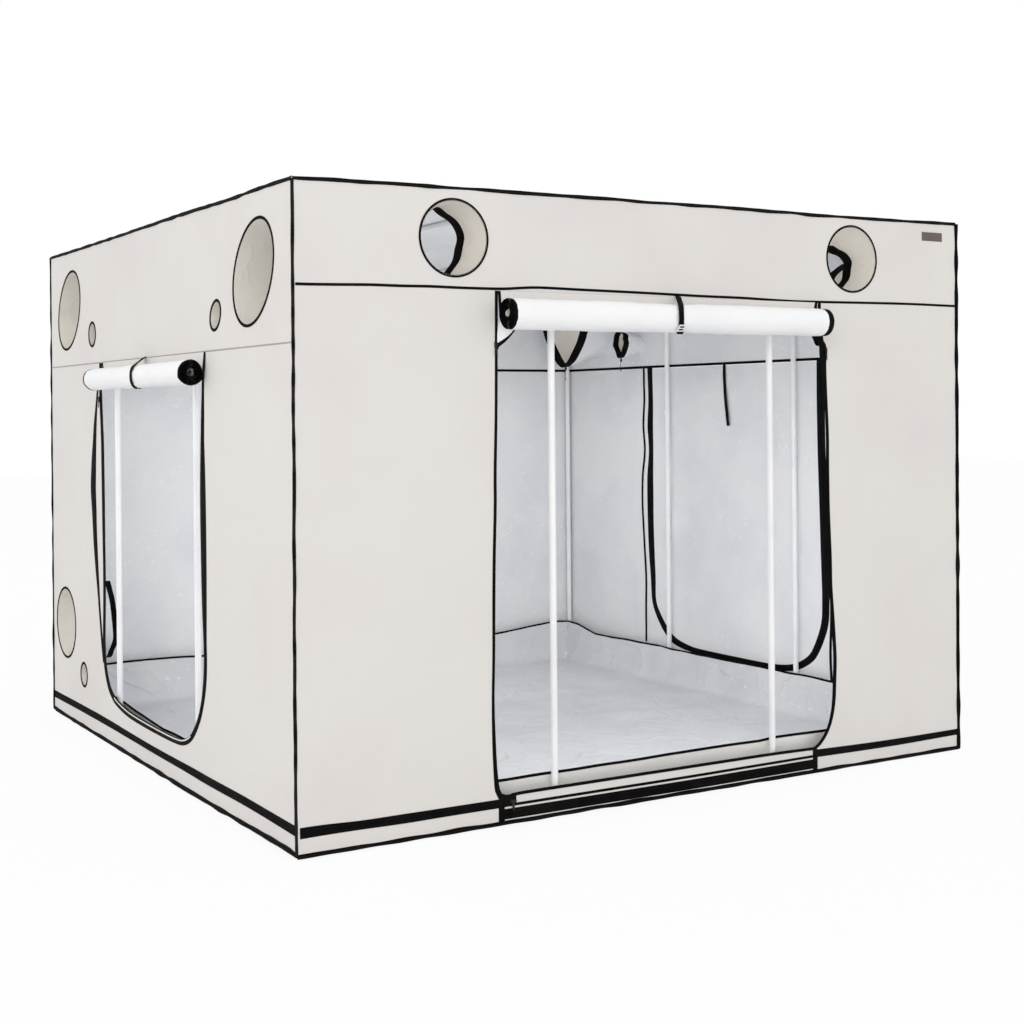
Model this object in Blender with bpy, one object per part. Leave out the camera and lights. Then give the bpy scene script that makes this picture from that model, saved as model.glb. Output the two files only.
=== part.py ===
# Indoor grow tent: a square tube frame with a sewn canvas cover, doors that roll up,
# duct sleeves with draw-cord hems and a loose spill tray.
# Metres, +Z up. The origin is the middle of the floor sheet's underside.
import math

import bpy
import bmesh
from mathutils import Matrix, Vector

# Size of the cover over its edge piping
WIDTH = 3.0
DEPTH = 3.0
HEIGHT = 2.2

# Canvas, piping and the clearance that touching pieces keep
FABRIC = 0.0015
GAP = 0.0003
PIPING = 0.014
PIPING_PROUD = 0.004

# Black base webbing round the skirt, and the sill webbing below the front door
WEBBING = 0.0022
WEBBING_SUNK = 0.0010
BAND_LOW = 0.054
BAND_HIGH = 0.090
SILL_HIGH = 0.050
SILL_END = 0.015

# Frame tubes and their push-fit connectors
TUBE_RADIUS = 0.0125
TUBE_WALL = 0.0010
POLE_INSET = 0.030
POST_SPREAD = 0.500
HUB_RADIUS = 0.016
HUB_HALF = 0.040
COLLAR = 0.045
SPIGOT = 0.090

# Spill tray: its rim drops from the back to the front
TRAY_BACK = 0.180
TRAY_FRONT = 0.132

# Bound seam across the front wall
SEAM_TALL = 0.012
SEAM_THICK = 0.0022

# Doors: half width and bottom edge along the middle of the zip, top edge below the roof
FRONT_DOOR_AT = 0.012
FRONT_DOOR_HALF = 0.755
FRONT_DOOR_LOW = 0.080
FRONT_DOOR_DROP = 0.349
FRONT_DOOR_CORNER = 0.060
SIDE_DOOR_HALF = 0.680
SIDE_DOOR_LOW = 0.180
SIDE_DOOR_DROP = 0.543
SIDE_DOOR_CORNER = 0.280
ZIP_WIDTH = 0.014
ZIP_THICK = 0.0030
HINGE_GAP = 0.0008

# Rolled-up doors: axis below the hinge line and out from the canvas
ROLL_CORE = 0.012
FRONT_ROLL_RADIUS = 0.056
FRONT_ROLL_DROP = 0.081
FRONT_ROLL_OUT = 0.064
FRONT_ROLL_AT = -0.007
FRONT_ROLL_HALF = 0.734
FRONT_CLOTH = 1.770
SIDE_ROLL_RADIUS = 0.051
SIDE_ROLL_DROP = 0.076
SIDE_ROLL_OUT = 0.056
SIDE_ROLL_HALF = 0.640
SIDE_CLOTH = 1.480
SIDE_ROLL_SEWN = 0.003

# Straps that hold the rolls, and the one that hangs inside the right door
STRAP_WIDTH = 0.022
STRAP_THICK = 0.0015
STRAP_CLEAR = 0.0007
STRAP_SEWN = 0.006
FRONT_STRAP_AT = 0.042
FRONT_STRAP_LEAN = -0.62
SIDE_STRAP_AT = 0.110
HANGING_STRAP_AT = 0.050
HANGING_STRAP_SEWN = 0.010
HANGING_STRAP_LONG = 0.318
BUCKLE_WIDTH = 0.030
BUCKLE_TALL = 0.030
BUCKLE_THICK = 0.0030
BUCKLE_BAR = 0.0045
BUCKLE_ANGLE = math.radians(-42)

# Zip sliders, and where they are parked: below the top of their door, above its bottom,
# or in from its left edge
SLIDER_WIDTH = 0.011
SLIDER_LONG = 0.026
SLIDER_THICK = 0.0050
TAB_WIDTH = 0.008
TAB_LONG = 0.036
TAB_THICK = 0.0015
TAB_HOLE = 0.0025
FRONT_SLIDER_DROP = 0.191
SIDE_SLIDER_DROP = 0.157
CLOSED_SLIDER_LIFT = 0.380
SILL_SLIDER_IN = 0.053

# Duct sleeves: piped rim, canvas tube and thicker draw-cord hem. The upper ducts are placed
# by their drop below the roof
RIM_WIDTH = 0.006
RIM_THICK = 0.0020
SLEEVE = 0.0015
HEM_LONG = 0.040
HEM_THICK = 0.0012
SMALL_HEM_LONG = 0.026
FRONT_DUCT = 0.134
FRONT_SLEEVE_LONG = 0.160
SIDE_DUCT = 0.182
SIDE_SLEEVE_LONG = 0.266
LOW_DUCT = 0.165
LOW_SLEEVE_LONG = 0.220
SMALL_DUCT = 0.055
SMALL_SLEEVE_LONG = 0.138
FRONT_DUCT_DROP = 0.170
FRONT_DUCT_LEFT = -0.898
FRONT_DUCT_RIGHT = 0.921
SIDE_DUCT_DROP = 0.282
SIDE_DUCT_NEAR = 1.148
SIDE_DUCT_FAR = -1.185
SMALL_DUCT_DROP = 0.410
SMALL_DUCT_NEAR = 0.776
SMALL_DUCT_FAR = -0.808
LOW_DUCT_HIGH = 0.445
LOW_DUCT_AT = -1.277
LOW_SMALL_HIGH = 0.238
LOW_SMALL_AT = -0.980

# A sleeve's mouth hangs as a drop: half width, rise, fall of the tip and sag of its middle,
# as shares of the duct's radius
FRONT_MOUTH_SHARES = (0.86, 0.84, 1.06, 0.04)
SLACK_MOUTH_SHARES = (0.88, 0.72, 1.02, 0.22)
SIDE_MOUTH_SHARES = (1.08, 0.86, 1.26, 0.08)
LOW_MOUTH_SHARES = (0.96, 0.86, 1.16, 0.08)
SMALL_MOUTH_SHARES = (1.08, 0.92, 1.36, 0.02)
TIP_POWER = 0.36

# Facets
TUBE_SIDES = 12
SLEEVE_SIDES = 20
SMALL_SLEEVE_SIDES = 12
ARC_STEPS = 8
TURN_STEPS = 14
STRAP_STEPS = 28
OVERRUN = 0.010

# Sizes that follow from those above
FRONT_DOOR_TOP = HEIGHT - FRONT_DOOR_DROP
SIDE_DOOR_TOP = HEIGHT - SIDE_DOOR_DROP
FRONT_DUCT_HIGH = HEIGHT - FRONT_DUCT_DROP
SIDE_DUCT_HIGH = HEIGHT - SIDE_DUCT_DROP
SMALL_DUCT_HIGH = HEIGHT - SMALL_DUCT_DROP
SHEET_REACH = PIPING_PROUD + FABRIC
EDGE = PIPING + GAP
RAIL_LOW = FABRIC + GAP + HUB_RADIUS
RAIL_HIGH = HEIGHT - SHEET_REACH - GAP - HUB_RADIUS
TUBE_BORE = TUBE_RADIUS - TUBE_WALL
SPIGOT_RADIUS = TUBE_BORE - GAP
ZIP_HALF = ZIP_WIDTH / 2

# Each side's direction to the right, seen from outside, and its outward direction
SIDES = {
    "front": (Vector((1, 0, 0)), Vector((0, -1, 0))),
    "right": (Vector((0, 1, 0)), Vector((1, 0, 0))),
    "back": (Vector((-1, 0, 0)), Vector((0, 1, 0))),
    "left": (Vector((0, -1, 0)), Vector((-1, 0, 0))),
}
UP = Vector((0, 0, 1))


def side_frame(side):
    """Frame of a side: first axis to the right, second up, third outward."""
    across, outward = SIDES[side]
    return Matrix((across, UP, outward)).transposed().to_4x4()


def side_reach(side):
    """Distance from the tent's middle to the outside of a side's piping."""
    return (DEPTH if side in ("front", "back") else WIDTH) / 2


def side_half(side):
    """Half the length of a side."""
    return (WIDTH if side in ("front", "back") else DEPTH) / 2


# Swaps the first and third axes, for outlines drawn as outward and up
PROFILE = Matrix(((0, 0, 1, 0), (0, 1, 0, 0), (1, 0, 0, 0), (0, 0, 0, 1)))


def clear_scene():
    for obj in list(bpy.data.objects):
        bpy.data.objects.remove(obj, do_unlink=True)


def finish_material(name, colour, roughness, metallic=0.0):
    material = bpy.data.materials.new(name)
    material.use_nodes = True
    shader = material.node_tree.nodes["Principled BSDF"]
    shader.inputs["Base Color"].default_value = (*colour, 1.0)
    shader.inputs["Roughness"].default_value = roughness
    shader.inputs["Metallic"].default_value = metallic
    return material


def place(name, bm, material, frame=Matrix.Identity(4), origin=(0, 0, 0), smooth=False):
    """Turns a bmesh into an object whose origin lies at the given point of the frame."""
    bmesh.ops.translate(bm, verts=bm.verts, vec=-Vector(origin))
    bmesh.ops.recalc_face_normals(bm, faces=bm.faces)
    mesh = bpy.data.meshes.new(name)
    bm.to_mesh(mesh)
    bm.free()
    mesh.materials.append(material)
    if smooth:
        mesh.shade_smooth()
        mesh.set_sharp_from_angle(angle=math.radians(40))
    obj = bpy.data.objects.new(name, mesh)
    bpy.context.scene.collection.objects.link(obj)
    obj.matrix_world = frame @ Matrix.Translation(origin)
    return obj


def slab(outer, holes, low, high):
    """A flat sheet from its outline and the outlines of its holes."""
    bm = bmesh.new()
    edges = []
    for loop in [outer] + holes:
        verts = [bm.verts.new((a, b, low)) for a, b in loop]
        edges += [bm.edges.new(pair) for pair in zip(verts, verts[1:] + verts[:1])]
    bmesh.ops.triangle_fill(bm, use_beauty=True, edges=edges)
    grown = bmesh.ops.extrude_face_region(bm, geom=bm.faces[:])
    moved = [item for item in grown["geom"] if isinstance(item, bmesh.types.BMVert)]
    bmesh.ops.translate(bm, verts=moved, vec=(0, 0, high - low))
    return bm


def ribbon(path, width, low, high):
    """A strip of the given width along a flat path, as thick as low to high."""
    bm = bmesh.new()
    rows = []
    for i, point in enumerate(path):
        before = path[max(i - 1, 0)]
        after = path[min(i + 1, len(path) - 1)]
        along = (Vector(after) - Vector(before)).normalized()
        aside = Vector((-along.y, along.x)) * width / 2
        a, b = Vector(point) - aside, Vector(point) + aside
        corners = ((a.x, a.y, low), (b.x, b.y, low), (b.x, b.y, high), (a.x, a.y, high))
        rows.append([bm.verts.new(corner) for corner in corners])
    for one, two in zip(rows, rows[1:]):
        for k in range(4):
            bm.faces.new((one[k], one[(k + 1) % 4], two[(k + 1) % 4], two[k]))
    bm.faces.new(rows[0])
    bm.faces.new(rows[-1])
    return bm


def swept_ring(section, sides, where):
    """Sweeps a closed section round an axis; where() gives a section point at an angle."""
    bm = bmesh.new()
    rings = []
    for step in range(sides):
        angle = 2 * math.pi * step / sides
        rings.append([bm.verts.new(where(angle, point)) for point in section])
    count = len(section)
    for step in range(sides):
        one, two = rings[step], rings[(step + 1) % sides]
        for k in range(count):
            bm.faces.new((one[k], one[(k + 1) % count], two[(k + 1) % count], two[k]))
    return bm


def rod(radius, start, end):
    """A solid round bar between two points."""
    start, end = Vector(start), Vector(end)
    length = (end - start).length
    bm = bmesh.new()
    bmesh.ops.create_cone(bm, cap_ends=True, segments=TUBE_SIDES, radius1=radius, radius2=radius,
                          depth=length)
    turn = UP.rotation_difference(end - start).to_matrix().to_4x4()
    bm.transform(Matrix.Translation((start + end) / 2) @ turn)
    return bm


def block(low, high):
    """A plain box between two corners."""
    bm = bmesh.new()
    bmesh.ops.create_cube(bm, size=1)
    low, high = Vector(low), Vector(high)
    bm.transform(Matrix.Translation((low + high) / 2) @ Matrix.Diagonal((high - low).to_4d()))
    return bm


def combined(first, others, operation):
    """Joins the other shapes to the first, or cuts them out of it, and gives one bmesh."""
    base = place("base", first, None)
    tools = [place("tool", shape, None) for shape in others]
    for tool in tools:
        modifier = base.modifiers.new("combine", "BOOLEAN")
        modifier.operation = operation
        modifier.object = tool
    bpy.context.view_layer.update()
    graph = bpy.context.evaluated_depsgraph_get()
    bm = bmesh.new()
    bm.from_mesh(base.evaluated_get(graph).to_mesh())
    for helper in [base] + tools:
        bpy.data.objects.remove(helper, do_unlink=True)
    bmesh.ops.remove_doubles(bm, verts=bm.verts, dist=GAP / 100)
    return bm


def rectangle(left, low, right, high):
    return [(left, low), (right, low), (right, high), (left, high)]


def circle(centre_a, centre_b, radius, steps):
    turns = [2 * math.pi * k / steps for k in range(steps)]
    return [(centre_a + radius * math.cos(t), centre_b + radius * math.sin(t)) for t in turns]


# Middle, half width, bottom, top and corner radius of each door, along the middle of its zip
FRONT_DOOR = (FRONT_DOOR_AT, FRONT_DOOR_HALF, FRONT_DOOR_LOW, FRONT_DOOR_TOP, FRONT_DOOR_CORNER)
SIDE_DOOR = (0, SIDE_DOOR_HALF, SIDE_DOOR_LOW, SIDE_DOOR_TOP, SIDE_DOOR_CORNER)


def door_edge(door, grown=0, lowered=0):
    """Path down the left side of a door, along the bottom and up the right side.

    It can be made larger or smaller all round but at its top, which can be lowered.
    """
    at, half, low, top, corner = door
    half, low, corner = half + grown, low - grown, corner + grown
    left = [(-half, top - lowered)]
    for k in range(ARC_STEPS + 1):
        turn = math.pi / 2 * k / ARC_STEPS
        left.append((corner * (1 - math.cos(turn)) - half, low + corner * (1 - math.sin(turn))))
    return [(at + a, b) for a, b in left] + [(at - a, b) for a, b in reversed(left)]


def build_piping(black):
    """All the black trim of the edges: twelve piped edges, base webbing and sill webbing."""
    x, y = WIDTH / 2, DEPTH / 2
    cage = block((-x, -y, 0), (x, y, HEIGHT))
    past, inner = OVERRUN, PIPING
    windows = [
        block((-x - past, inner - y, inner), (x + past, y - inner, HEIGHT - inner)),
        block((inner - x, -y - past, inner), (x - inner, y + past, HEIGHT - inner)),
        block((inner - x, inner - y, -past), (x - inner, y - inner, HEIGHT + past)),
    ]
    cage = combined(cage, windows, "DIFFERENCE")
    bands = []
    for side in SIDES:
        reach = side_half(side) - WEBBING_SUNK
        low = side_reach(side) - PIPING_PROUD + GAP
        if side == "front":
            outline = sill_outline(reach)
        else:
            outline = rectangle(-reach, BAND_LOW, reach, BAND_HIGH)
        band = slab(outline, [], low, low + WEBBING)
        band.transform(side_frame(side))
        bands.append(band)
    place("edge_piping", combined(cage, bands, "UNION"), black)


def sill_outline(reach):
    """Base webbing left and right of the front door, and the sill webbing between them."""
    inner = FRONT_DOOR_HALF + ZIP_HALF + GAP
    outer = inner + SILL_END

    def half_outline(hand):
        near, far = FRONT_DOOR_AT + hand * inner, FRONT_DOOR_AT + hand * outer
        end = hand * reach
        return [(far, WEBBING_SUNK), (far, BAND_LOW), (end, BAND_LOW), (end, BAND_HIGH),
                (near, BAND_HIGH), (near, SILL_HIGH)]

    return half_outline(1) + list(reversed(half_outline(-1)))


def build_flat_sheets(canvas, lining):
    """Floor sheet, roof and the plain back wall."""
    x, y = WIDTH / 2 - EDGE, DEPTH / 2 - EDGE
    place("floor_sheet", slab(rectangle(-x, -y, x, y), [], 0, FABRIC), lining)
    top = HEIGHT - PIPING_PROUD
    place("roof_panel", slab(rectangle(-x, -y, x, y), [], top - FABRIC, top), canvas)
    build_wall("back", [], canvas)


def build_wall(side, holes, canvas):
    """A wall inside its piping, with the outlines of its openings cut out."""
    reach = side_half(side) - EDGE
    face = side_reach(side) - PIPING_PROUD
    outline = rectangle(-reach, EDGE, reach, HEIGHT - EDGE)
    place(side + "_wall", slab(outline, holes, face - FABRIC, face), canvas, side_frame(side))


def side_ducts():
    """Name, place, radius, length, mouth and hem of each duct in the left and right walls."""
    return [
        ("near_duct", SIDE_DUCT_NEAR, SIDE_DUCT_HIGH, SIDE_DUCT, SIDE_SLEEVE_LONG,
         SIDE_MOUTH_SHARES, HEM_LONG),
        ("far_duct", SIDE_DUCT_FAR, SIDE_DUCT_HIGH, SIDE_DUCT, SIDE_SLEEVE_LONG,
         SIDE_MOUTH_SHARES, HEM_LONG),
        ("low_duct", LOW_DUCT_AT, LOW_DUCT_HIGH, LOW_DUCT, LOW_SLEEVE_LONG, LOW_MOUTH_SHARES, HEM_LONG),
        ("near_cable", SMALL_DUCT_NEAR, SMALL_DUCT_HIGH, SMALL_DUCT, SMALL_SLEEVE_LONG,
         SMALL_MOUTH_SHARES, SMALL_HEM_LONG),
        ("far_cable", SMALL_DUCT_FAR, SMALL_DUCT_HIGH, SMALL_DUCT, SMALL_SLEEVE_LONG,
         SMALL_MOUTH_SHARES, SMALL_HEM_LONG),
        ("low_cable", LOW_SMALL_AT, LOW_SMALL_HIGH, SMALL_DUCT, SMALL_SLEEVE_LONG,
         SMALL_MOUTH_SHARES, SMALL_HEM_LONG),
    ]


def front_ducts():
    return [
        ("left_duct", FRONT_DUCT_LEFT, FRONT_DUCT_HIGH, FRONT_DUCT, FRONT_SLEEVE_LONG,
         FRONT_MOUTH_SHARES, HEM_LONG),
        ("right_duct", FRONT_DUCT_RIGHT, FRONT_DUCT_HIGH, FRONT_DUCT, FRONT_SLEEVE_LONG,
         SLACK_MOUTH_SHARES, HEM_LONG),
    ]


def sleeve_sides(radius):
    return SMALL_SLEEVE_SIDES if radius == SMALL_DUCT else SLEEVE_SIDES


def duct_hole(duct):
    """Outline of the hole that a sleeve passes through."""
    _, across, high, radius, _, _, _ = duct
    return circle(across, high, radius - RIM_WIDTH + 2 * GAP, sleeve_sides(radius))


def build_sleeve(side, duct, cloth):
    """A sleeve from its piped rim outside the wall to its drop-shaped mouth inside."""
    name, across, high, radius, length, mouth_shares, hem = duct
    face = side_reach(side) - PIPING_PROUD
    skin = radius - RIM_WIDTH
    wide, rise, fall, sag = [share * radius for share in mouth_shares]
    lining = skin - SLEEVE
    start = length - hem
    # Depth below the wall's outer face and distance from the axis, round the section
    section = [
        (-RIM_THICK - GAP, radius), (-GAP, radius), (-GAP, skin),
        (start / 3, skin), (start * 2 / 3, skin), (start, skin),
        (start, skin + HEM_THICK), (length, skin + HEM_THICK), (length, lining),
        (start, lining), (start * 2 / 3, lining), (start / 3, lining), (-RIM_THICK - GAP, lining),
    ]

    def where(angle, point):
        depth, out = point
        droop = max(depth, 0) / length
        droop = droop * droop * (3 - 2 * droop)
        side_step, lift = math.sin(angle), math.cos(angle)
        pinch = abs(math.cos(angle / 2)) ** TIP_POWER
        extra = out - skin
        drop_a = (wide + extra) * side_step * pinch
        drop_b = ((rise if lift > 0 else fall) + extra) * lift - sag
        a = out * side_step * (1 - droop) + drop_a * droop
        b = out * lift * (1 - droop) + drop_b * droop
        return (a, b, -depth)

    bm = swept_ring(section, sleeve_sides(radius), where)
    spot = Matrix.Translation((across, high, face))
    place(side + "_" + name + "_sleeve", bm, cloth, side_frame(side) @ spot, smooth=True)


def build_front(canvas, black):
    """Front wall with its door opening and ducts, and the bound seam above the door."""
    opening = door_edge(FRONT_DOOR, ZIP_HALF + GAP)
    build_wall("front", [opening] + [duct_hole(duct) for duct in front_ducts()], canvas)
    reach = side_half("front") - EDGE
    face = side_reach("front") - PIPING_PROUD + GAP
    seam = slab(rectangle(-reach, FRONT_DOOR_TOP, reach, FRONT_DOOR_TOP + SEAM_TALL), [],
                face, face + SEAM_THICK)
    place("front_seam", seam, black, side_frame("front"))


def build_side_wall(side, canvas):
    opening = door_edge(SIDE_DOOR, ZIP_HALF + GAP)
    build_wall(side, [opening] + [duct_hole(duct) for duct in side_ducts()], canvas)


def build_zip(side, door, black):
    """Zip tape that lines the two sides and the bottom of a door opening."""
    middle = side_reach(side) - PIPING_PROUD - FABRIC / 2
    path = door_edge(door, lowered=GAP)
    bm = ribbon(path, ZIP_WIDTH, middle - ZIP_THICK / 2, middle + ZIP_THICK / 2)
    place(side + "_zip", bm, black, side_frame(side))


def build_right_door(canvas):
    """The right door, zipped shut; it hangs from the seam at its top edge."""
    middle = side_reach("right") - PIPING_PROUD - FABRIC / 2
    top = SIDE_DOOR_TOP - HINGE_GAP
    outline = door_edge(SIDE_DOOR, -ZIP_HALF - GAP, HINGE_GAP)
    bm = slab(outline, [], middle - FABRIC / 2, middle + FABRIC / 2)
    place("right_door", bm, canvas, side_frame("right"), origin=(0, top, middle))


def roll_sizes(side):
    """Hinge point, roll centre, radius, pitch of the turns and first angle of a rolled door."""
    face = side_reach(side) - PIPING_PROUD
    if side == "front":
        drop, out, radius, cloth = FRONT_ROLL_DROP, FRONT_ROLL_OUT, FRONT_ROLL_RADIUS, FRONT_CLOTH
        hinge = Vector((face + ZIP_THICK / 2 + GAP, FRONT_DOOR_TOP - HINGE_GAP))
    else:
        drop, out, radius, cloth = SIDE_ROLL_DROP, SIDE_ROLL_OUT, SIDE_ROLL_RADIUS, SIDE_CLOTH
        hinge = Vector((face + FABRIC / 2 + GAP, SIDE_DOOR_TOP + SIDE_ROLL_SEWN))
    centre = Vector((face + out, hinge.y - drop))
    pitch = math.pi * (radius ** 2 - ROLL_CORE ** 2) / cloth
    return hinge, centre, radius, pitch, tangent_angle(hinge, centre, radius, 1)


def tangent_angle(point, centre, radius, sense):
    """Angle on a circle where a line from a point outside touches it."""
    away = point - centre
    return math.atan2(away.y, away.x) + sense * math.acos(radius / away.length)


def turn_point(centre, radius, angle):
    return (centre.x + radius * math.cos(angle), centre.y + radius * math.sin(angle))


def build_door_roll(side, at, half, canvas):
    """A door wound up outside its opening: a hanging strip and one unbroken winding."""
    hinge, centre, radius, pitch, first = roll_sizes(side)
    turns = (radius - ROLL_CORE) / pitch
    steps = round(turns * TURN_STEPS)
    winding = []
    for k in range(steps + 1):
        turned = k / TURN_STEPS
        winding.append(turn_point(centre, radius - pitch * turned, first + 2 * math.pi * turned))
    between = [(Vector(winding[k]) - Vector(winding[k + TURN_STEPS])).length
               for k in range(steps + 1 - TURN_STEPS)]
    print(side, "door roll: turns", round(turns, 2), "least gap in mm",
          round((min(between) - FABRIC) * 1000, 2))
    bm = ribbon([tuple(hinge)] + winding, FABRIC, at - half, at + half)
    bm.transform(PROFILE)
    place(side + "_door_roll", bm, canvas, side_frame(side), origin=(0, hinge.y, hinge.x), smooth=True)


def build_roll_strap(side, at, lean, black):
    """Strap round a rolled door: sewn to the door's outside at its top, round the roll, and up inside.

    A lean moves it aside by that share of its distance from the hinge.
    """
    hinge, centre, radius, pitch, first = roll_sizes(side)
    lift = FABRIC / 2 + STRAP_CLEAR + STRAP_THICK / 2
    face = side_reach(side) - PIPING_PROUD
    down = (Vector(turn_point(centre, radius, first)) - hinge).normalized()
    outward = Vector((-down.y, down.x))
    sewn_top = hinge + outward * (FABRIC / 2 + GAP + STRAP_THICK / 2)
    sewn_low = sewn_top + down * STRAP_SEWN
    top = FRONT_DOOR_TOP if side == "front" else SIDE_DOOR_TOP
    inside = Vector((face - FABRIC / 2, top - 2 * HINGE_GAP))
    start = tangent_angle(inside, centre, radius + lift, 1)
    end = tangent_angle(sewn_low, centre, radius + lift, -1) + 2 * math.pi
    path = [tuple(inside)]
    for k in range(STRAP_STEPS + 1):
        angle = start + (end - start) * k / STRAP_STEPS
        wound = radius - pitch * max(angle - first, 0) / (2 * math.pi)
        path.append(turn_point(centre, wound + lift, angle))
    path += [tuple(sewn_low), tuple(sewn_top)]
    bm = ribbon(path, STRAP_THICK, at - STRAP_WIDTH / 2, at + STRAP_WIDTH / 2)
    for vert in bm.verts:
        vert.co.z += lean * (vert.co.x - hinge.x)
    bm.transform(PROFILE)
    place(side + "_roll_strap", bm, black, side_frame(side), origin=(at, hinge.y, hinge.x), smooth=True)


def build_buckle(white):
    """Ladder buckle on the front strap, on the lower front of the roll."""
    hinge, centre, radius, pitch, first = roll_sizes("front")
    angle = BUCKLE_ANGLE
    wound = radius - pitch * (angle + 2 * math.pi - first) / (2 * math.pi)
    out = wound + FABRIC / 2 + STRAP_CLEAR + STRAP_THICK + GAP
    wide, tall, bar = BUCKLE_WIDTH / 2, BUCKLE_TALL / 2, BUCKLE_BAR
    slots = [rectangle(bar - wide, bar / 2, wide - bar, tall - bar),
             rectangle(bar - wide, bar - tall, wide - bar, -bar / 2)]
    bm = slab(rectangle(-wide, -tall, wide, tall), slots, 0, BUCKLE_THICK)
    tilt = Matrix.Rotation(-angle, 4, "X")
    spot = turn_point(centre, out, angle)
    at = FRONT_STRAP_AT + FRONT_STRAP_LEAN * (spot[0] - hinge.x)
    bm.transform(Matrix.Translation((at, spot[1], spot[0])) @ tilt)
    place("front_strap_buckle", bm, white, side_frame("front"), origin=(at, hinge.y, hinge.x))


def build_hanging_strap(black):
    """Strap that hangs from the seam inside the right door."""
    inner = side_reach("right") - SHEET_REACH - GAP
    at, half = HANGING_STRAP_AT, STRAP_WIDTH / 2
    high = SIDE_DOOR_TOP + HANGING_STRAP_SEWN
    outline = rectangle(at - half, high - HANGING_STRAP_LONG, at + half, high)
    bm = slab(outline, [], inner - STRAP_THICK, inner)
    place("right_door_strap", bm, black, side_frame("right"))


def build_slider(name, side, across, high, along_sill, metal):
    """Zip slider: wedge body, bail and a hanging pull tab, moved along its zip."""
    face = side_reach(side) - PIPING_PROUD - FABRIC / 2 + ZIP_THICK / 2 + GAP
    wide, long, thick = SLIDER_WIDTH / 2, SLIDER_LONG / 2, SLIDER_THICK
    nose = wide / 2
    body = slab([(-nose, -long), (nose, -long), (wide, 0), (wide, long), (-wide, long), (-wide, 0)],
                [], 0, thick)
    half, low = TAB_WIDTH / 2, -TAB_LONG
    ring = circle(0, low + 2 * TAB_HOLE, TAB_HOLE, ARC_STEPS)
    tab = slab([(-half, low), (half, low), (half, 0), (-half, 0)], [ring], 0, TAB_THICK)
    if along_sill:
        body.transform(Matrix.Rotation(math.radians(90), 4, "Z"))
    tab.transform(Matrix.Translation((0, 0, thick - TAB_THICK / 2)))
    bm = combined(body, [tab], "UNION")
    place(name, bm, metal, side_frame(side) @ Matrix.Translation((across, high, face)))


def build_sliders(metal):
    left = FRONT_DOOR_AT - FRONT_DOOR_HALF
    right = FRONT_DOOR_AT + FRONT_DOOR_HALF
    high = FRONT_DOOR_TOP - FRONT_SLIDER_DROP
    build_slider("front_left_slider", "front", left, high, False, metal)
    build_slider("front_right_slider", "front", right, high, False, metal)
    build_slider("front_sill_slider", "front", left + SILL_SLIDER_IN, FRONT_DOOR_LOW, True, metal)
    high = SIDE_DOOR_TOP - SIDE_SLIDER_DROP
    build_slider("left_slider", "left", -SIDE_DOOR_HALF, high, False, metal)
    low = SIDE_DOOR_LOW + CLOSED_SLIDER_LIFT
    build_slider("right_slider", "right", SIDE_DOOR_HALF, low, False, metal)


def build_tray(lining):
    """Open spill tray that stands on the floor sheet, inside the posts."""
    x = WIDTH / 2 - POLE_INSET - HUB_RADIUS - GAP
    y = DEPTH / 2 - POLE_INSET - HUB_RADIUS - GAP
    low = FABRIC + GAP
    bm = bmesh.new()

    def ring(inset, front, back):
        spots = ((-x + inset, -y + inset, front), (x - inset, -y + inset, front),
                 (x - inset, y - inset, back), (-x + inset, y - inset, back))
        return [bm.verts.new(spot) for spot in spots]

    rings = [ring(0, low, low), ring(0, TRAY_FRONT, TRAY_BACK), ring(FABRIC, TRAY_FRONT, TRAY_BACK),
             ring(FABRIC, low + FABRIC, low + FABRIC)]
    for one, two in zip(rings, rings[1:]):
        for k in range(4):
            bm.faces.new((one[k], one[(k + 1) % 4], two[(k + 1) % 4], two[k]))
    bm.faces.new(rings[0])
    bm.faces.new(rings[-1])
    place("spill_tray", bm, lining)


def tube_section(length):
    return [(TUBE_BORE, 0), (TUBE_RADIUS, 0), (TUBE_RADIUS, length), (TUBE_BORE, length)]


def build_tube(name, start, end, white):
    """A plain open tube between two points."""
    start, end = Vector(start), Vector(end)

    def where(angle, point):
        radius, along = point
        return (radius * math.cos(angle), radius * math.sin(angle), along)

    bm = swept_ring(tube_section((end - start).length), TUBE_SIDES, where)
    turn = UP.rotation_difference(end - start).to_matrix().to_4x4()
    place(name, bm, white, Matrix.Translation(start) @ turn, smooth=True)


def branch(middle, way, radius):
    """One arm of a connector: its collar and the spigot that a tube slides over."""
    collar = rod(radius, middle, middle + way * COLLAR)
    return [collar, rod(SPIGOT_RADIUS, middle + way * COLLAR / 2, middle + way * SPIGOT)]


def build_rail(name, side, high, post_way, ceiling_bars, white):
    """A rail of one side with two tee connectors for the posts, and for the ceiling bars."""
    reach = side_half(side) - POLE_INSET - COLLAR - GAP
    back = Vector((0, high, side_reach(side) - POLE_INSET))
    across = Vector((1, 0, 0))
    shapes = []
    for at in (-POST_SPREAD, POST_SPREAD):
        middle = back + across * at
        shapes.append(rod(HUB_RADIUS, middle - across * HUB_HALF, middle + across * HUB_HALF))
        shapes += branch(middle, Vector((0, post_way, 0)), HUB_RADIUS - GAP)
        if ceiling_bars:
            shapes += branch(middle, Vector((0, 0, -1)), HUB_RADIUS - 2 * GAP)
    bar = rod(TUBE_RADIUS, back - across * reach, back + across * reach)
    bm = combined(bar, shapes, "UNION")
    past = across * (reach + OVERRUN)
    bm = combined(bm, [rod(TUBE_BORE, back - past, back + past)], "DIFFERENCE")
    place(name, bm, white, side_frame(side), smooth=True)


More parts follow.
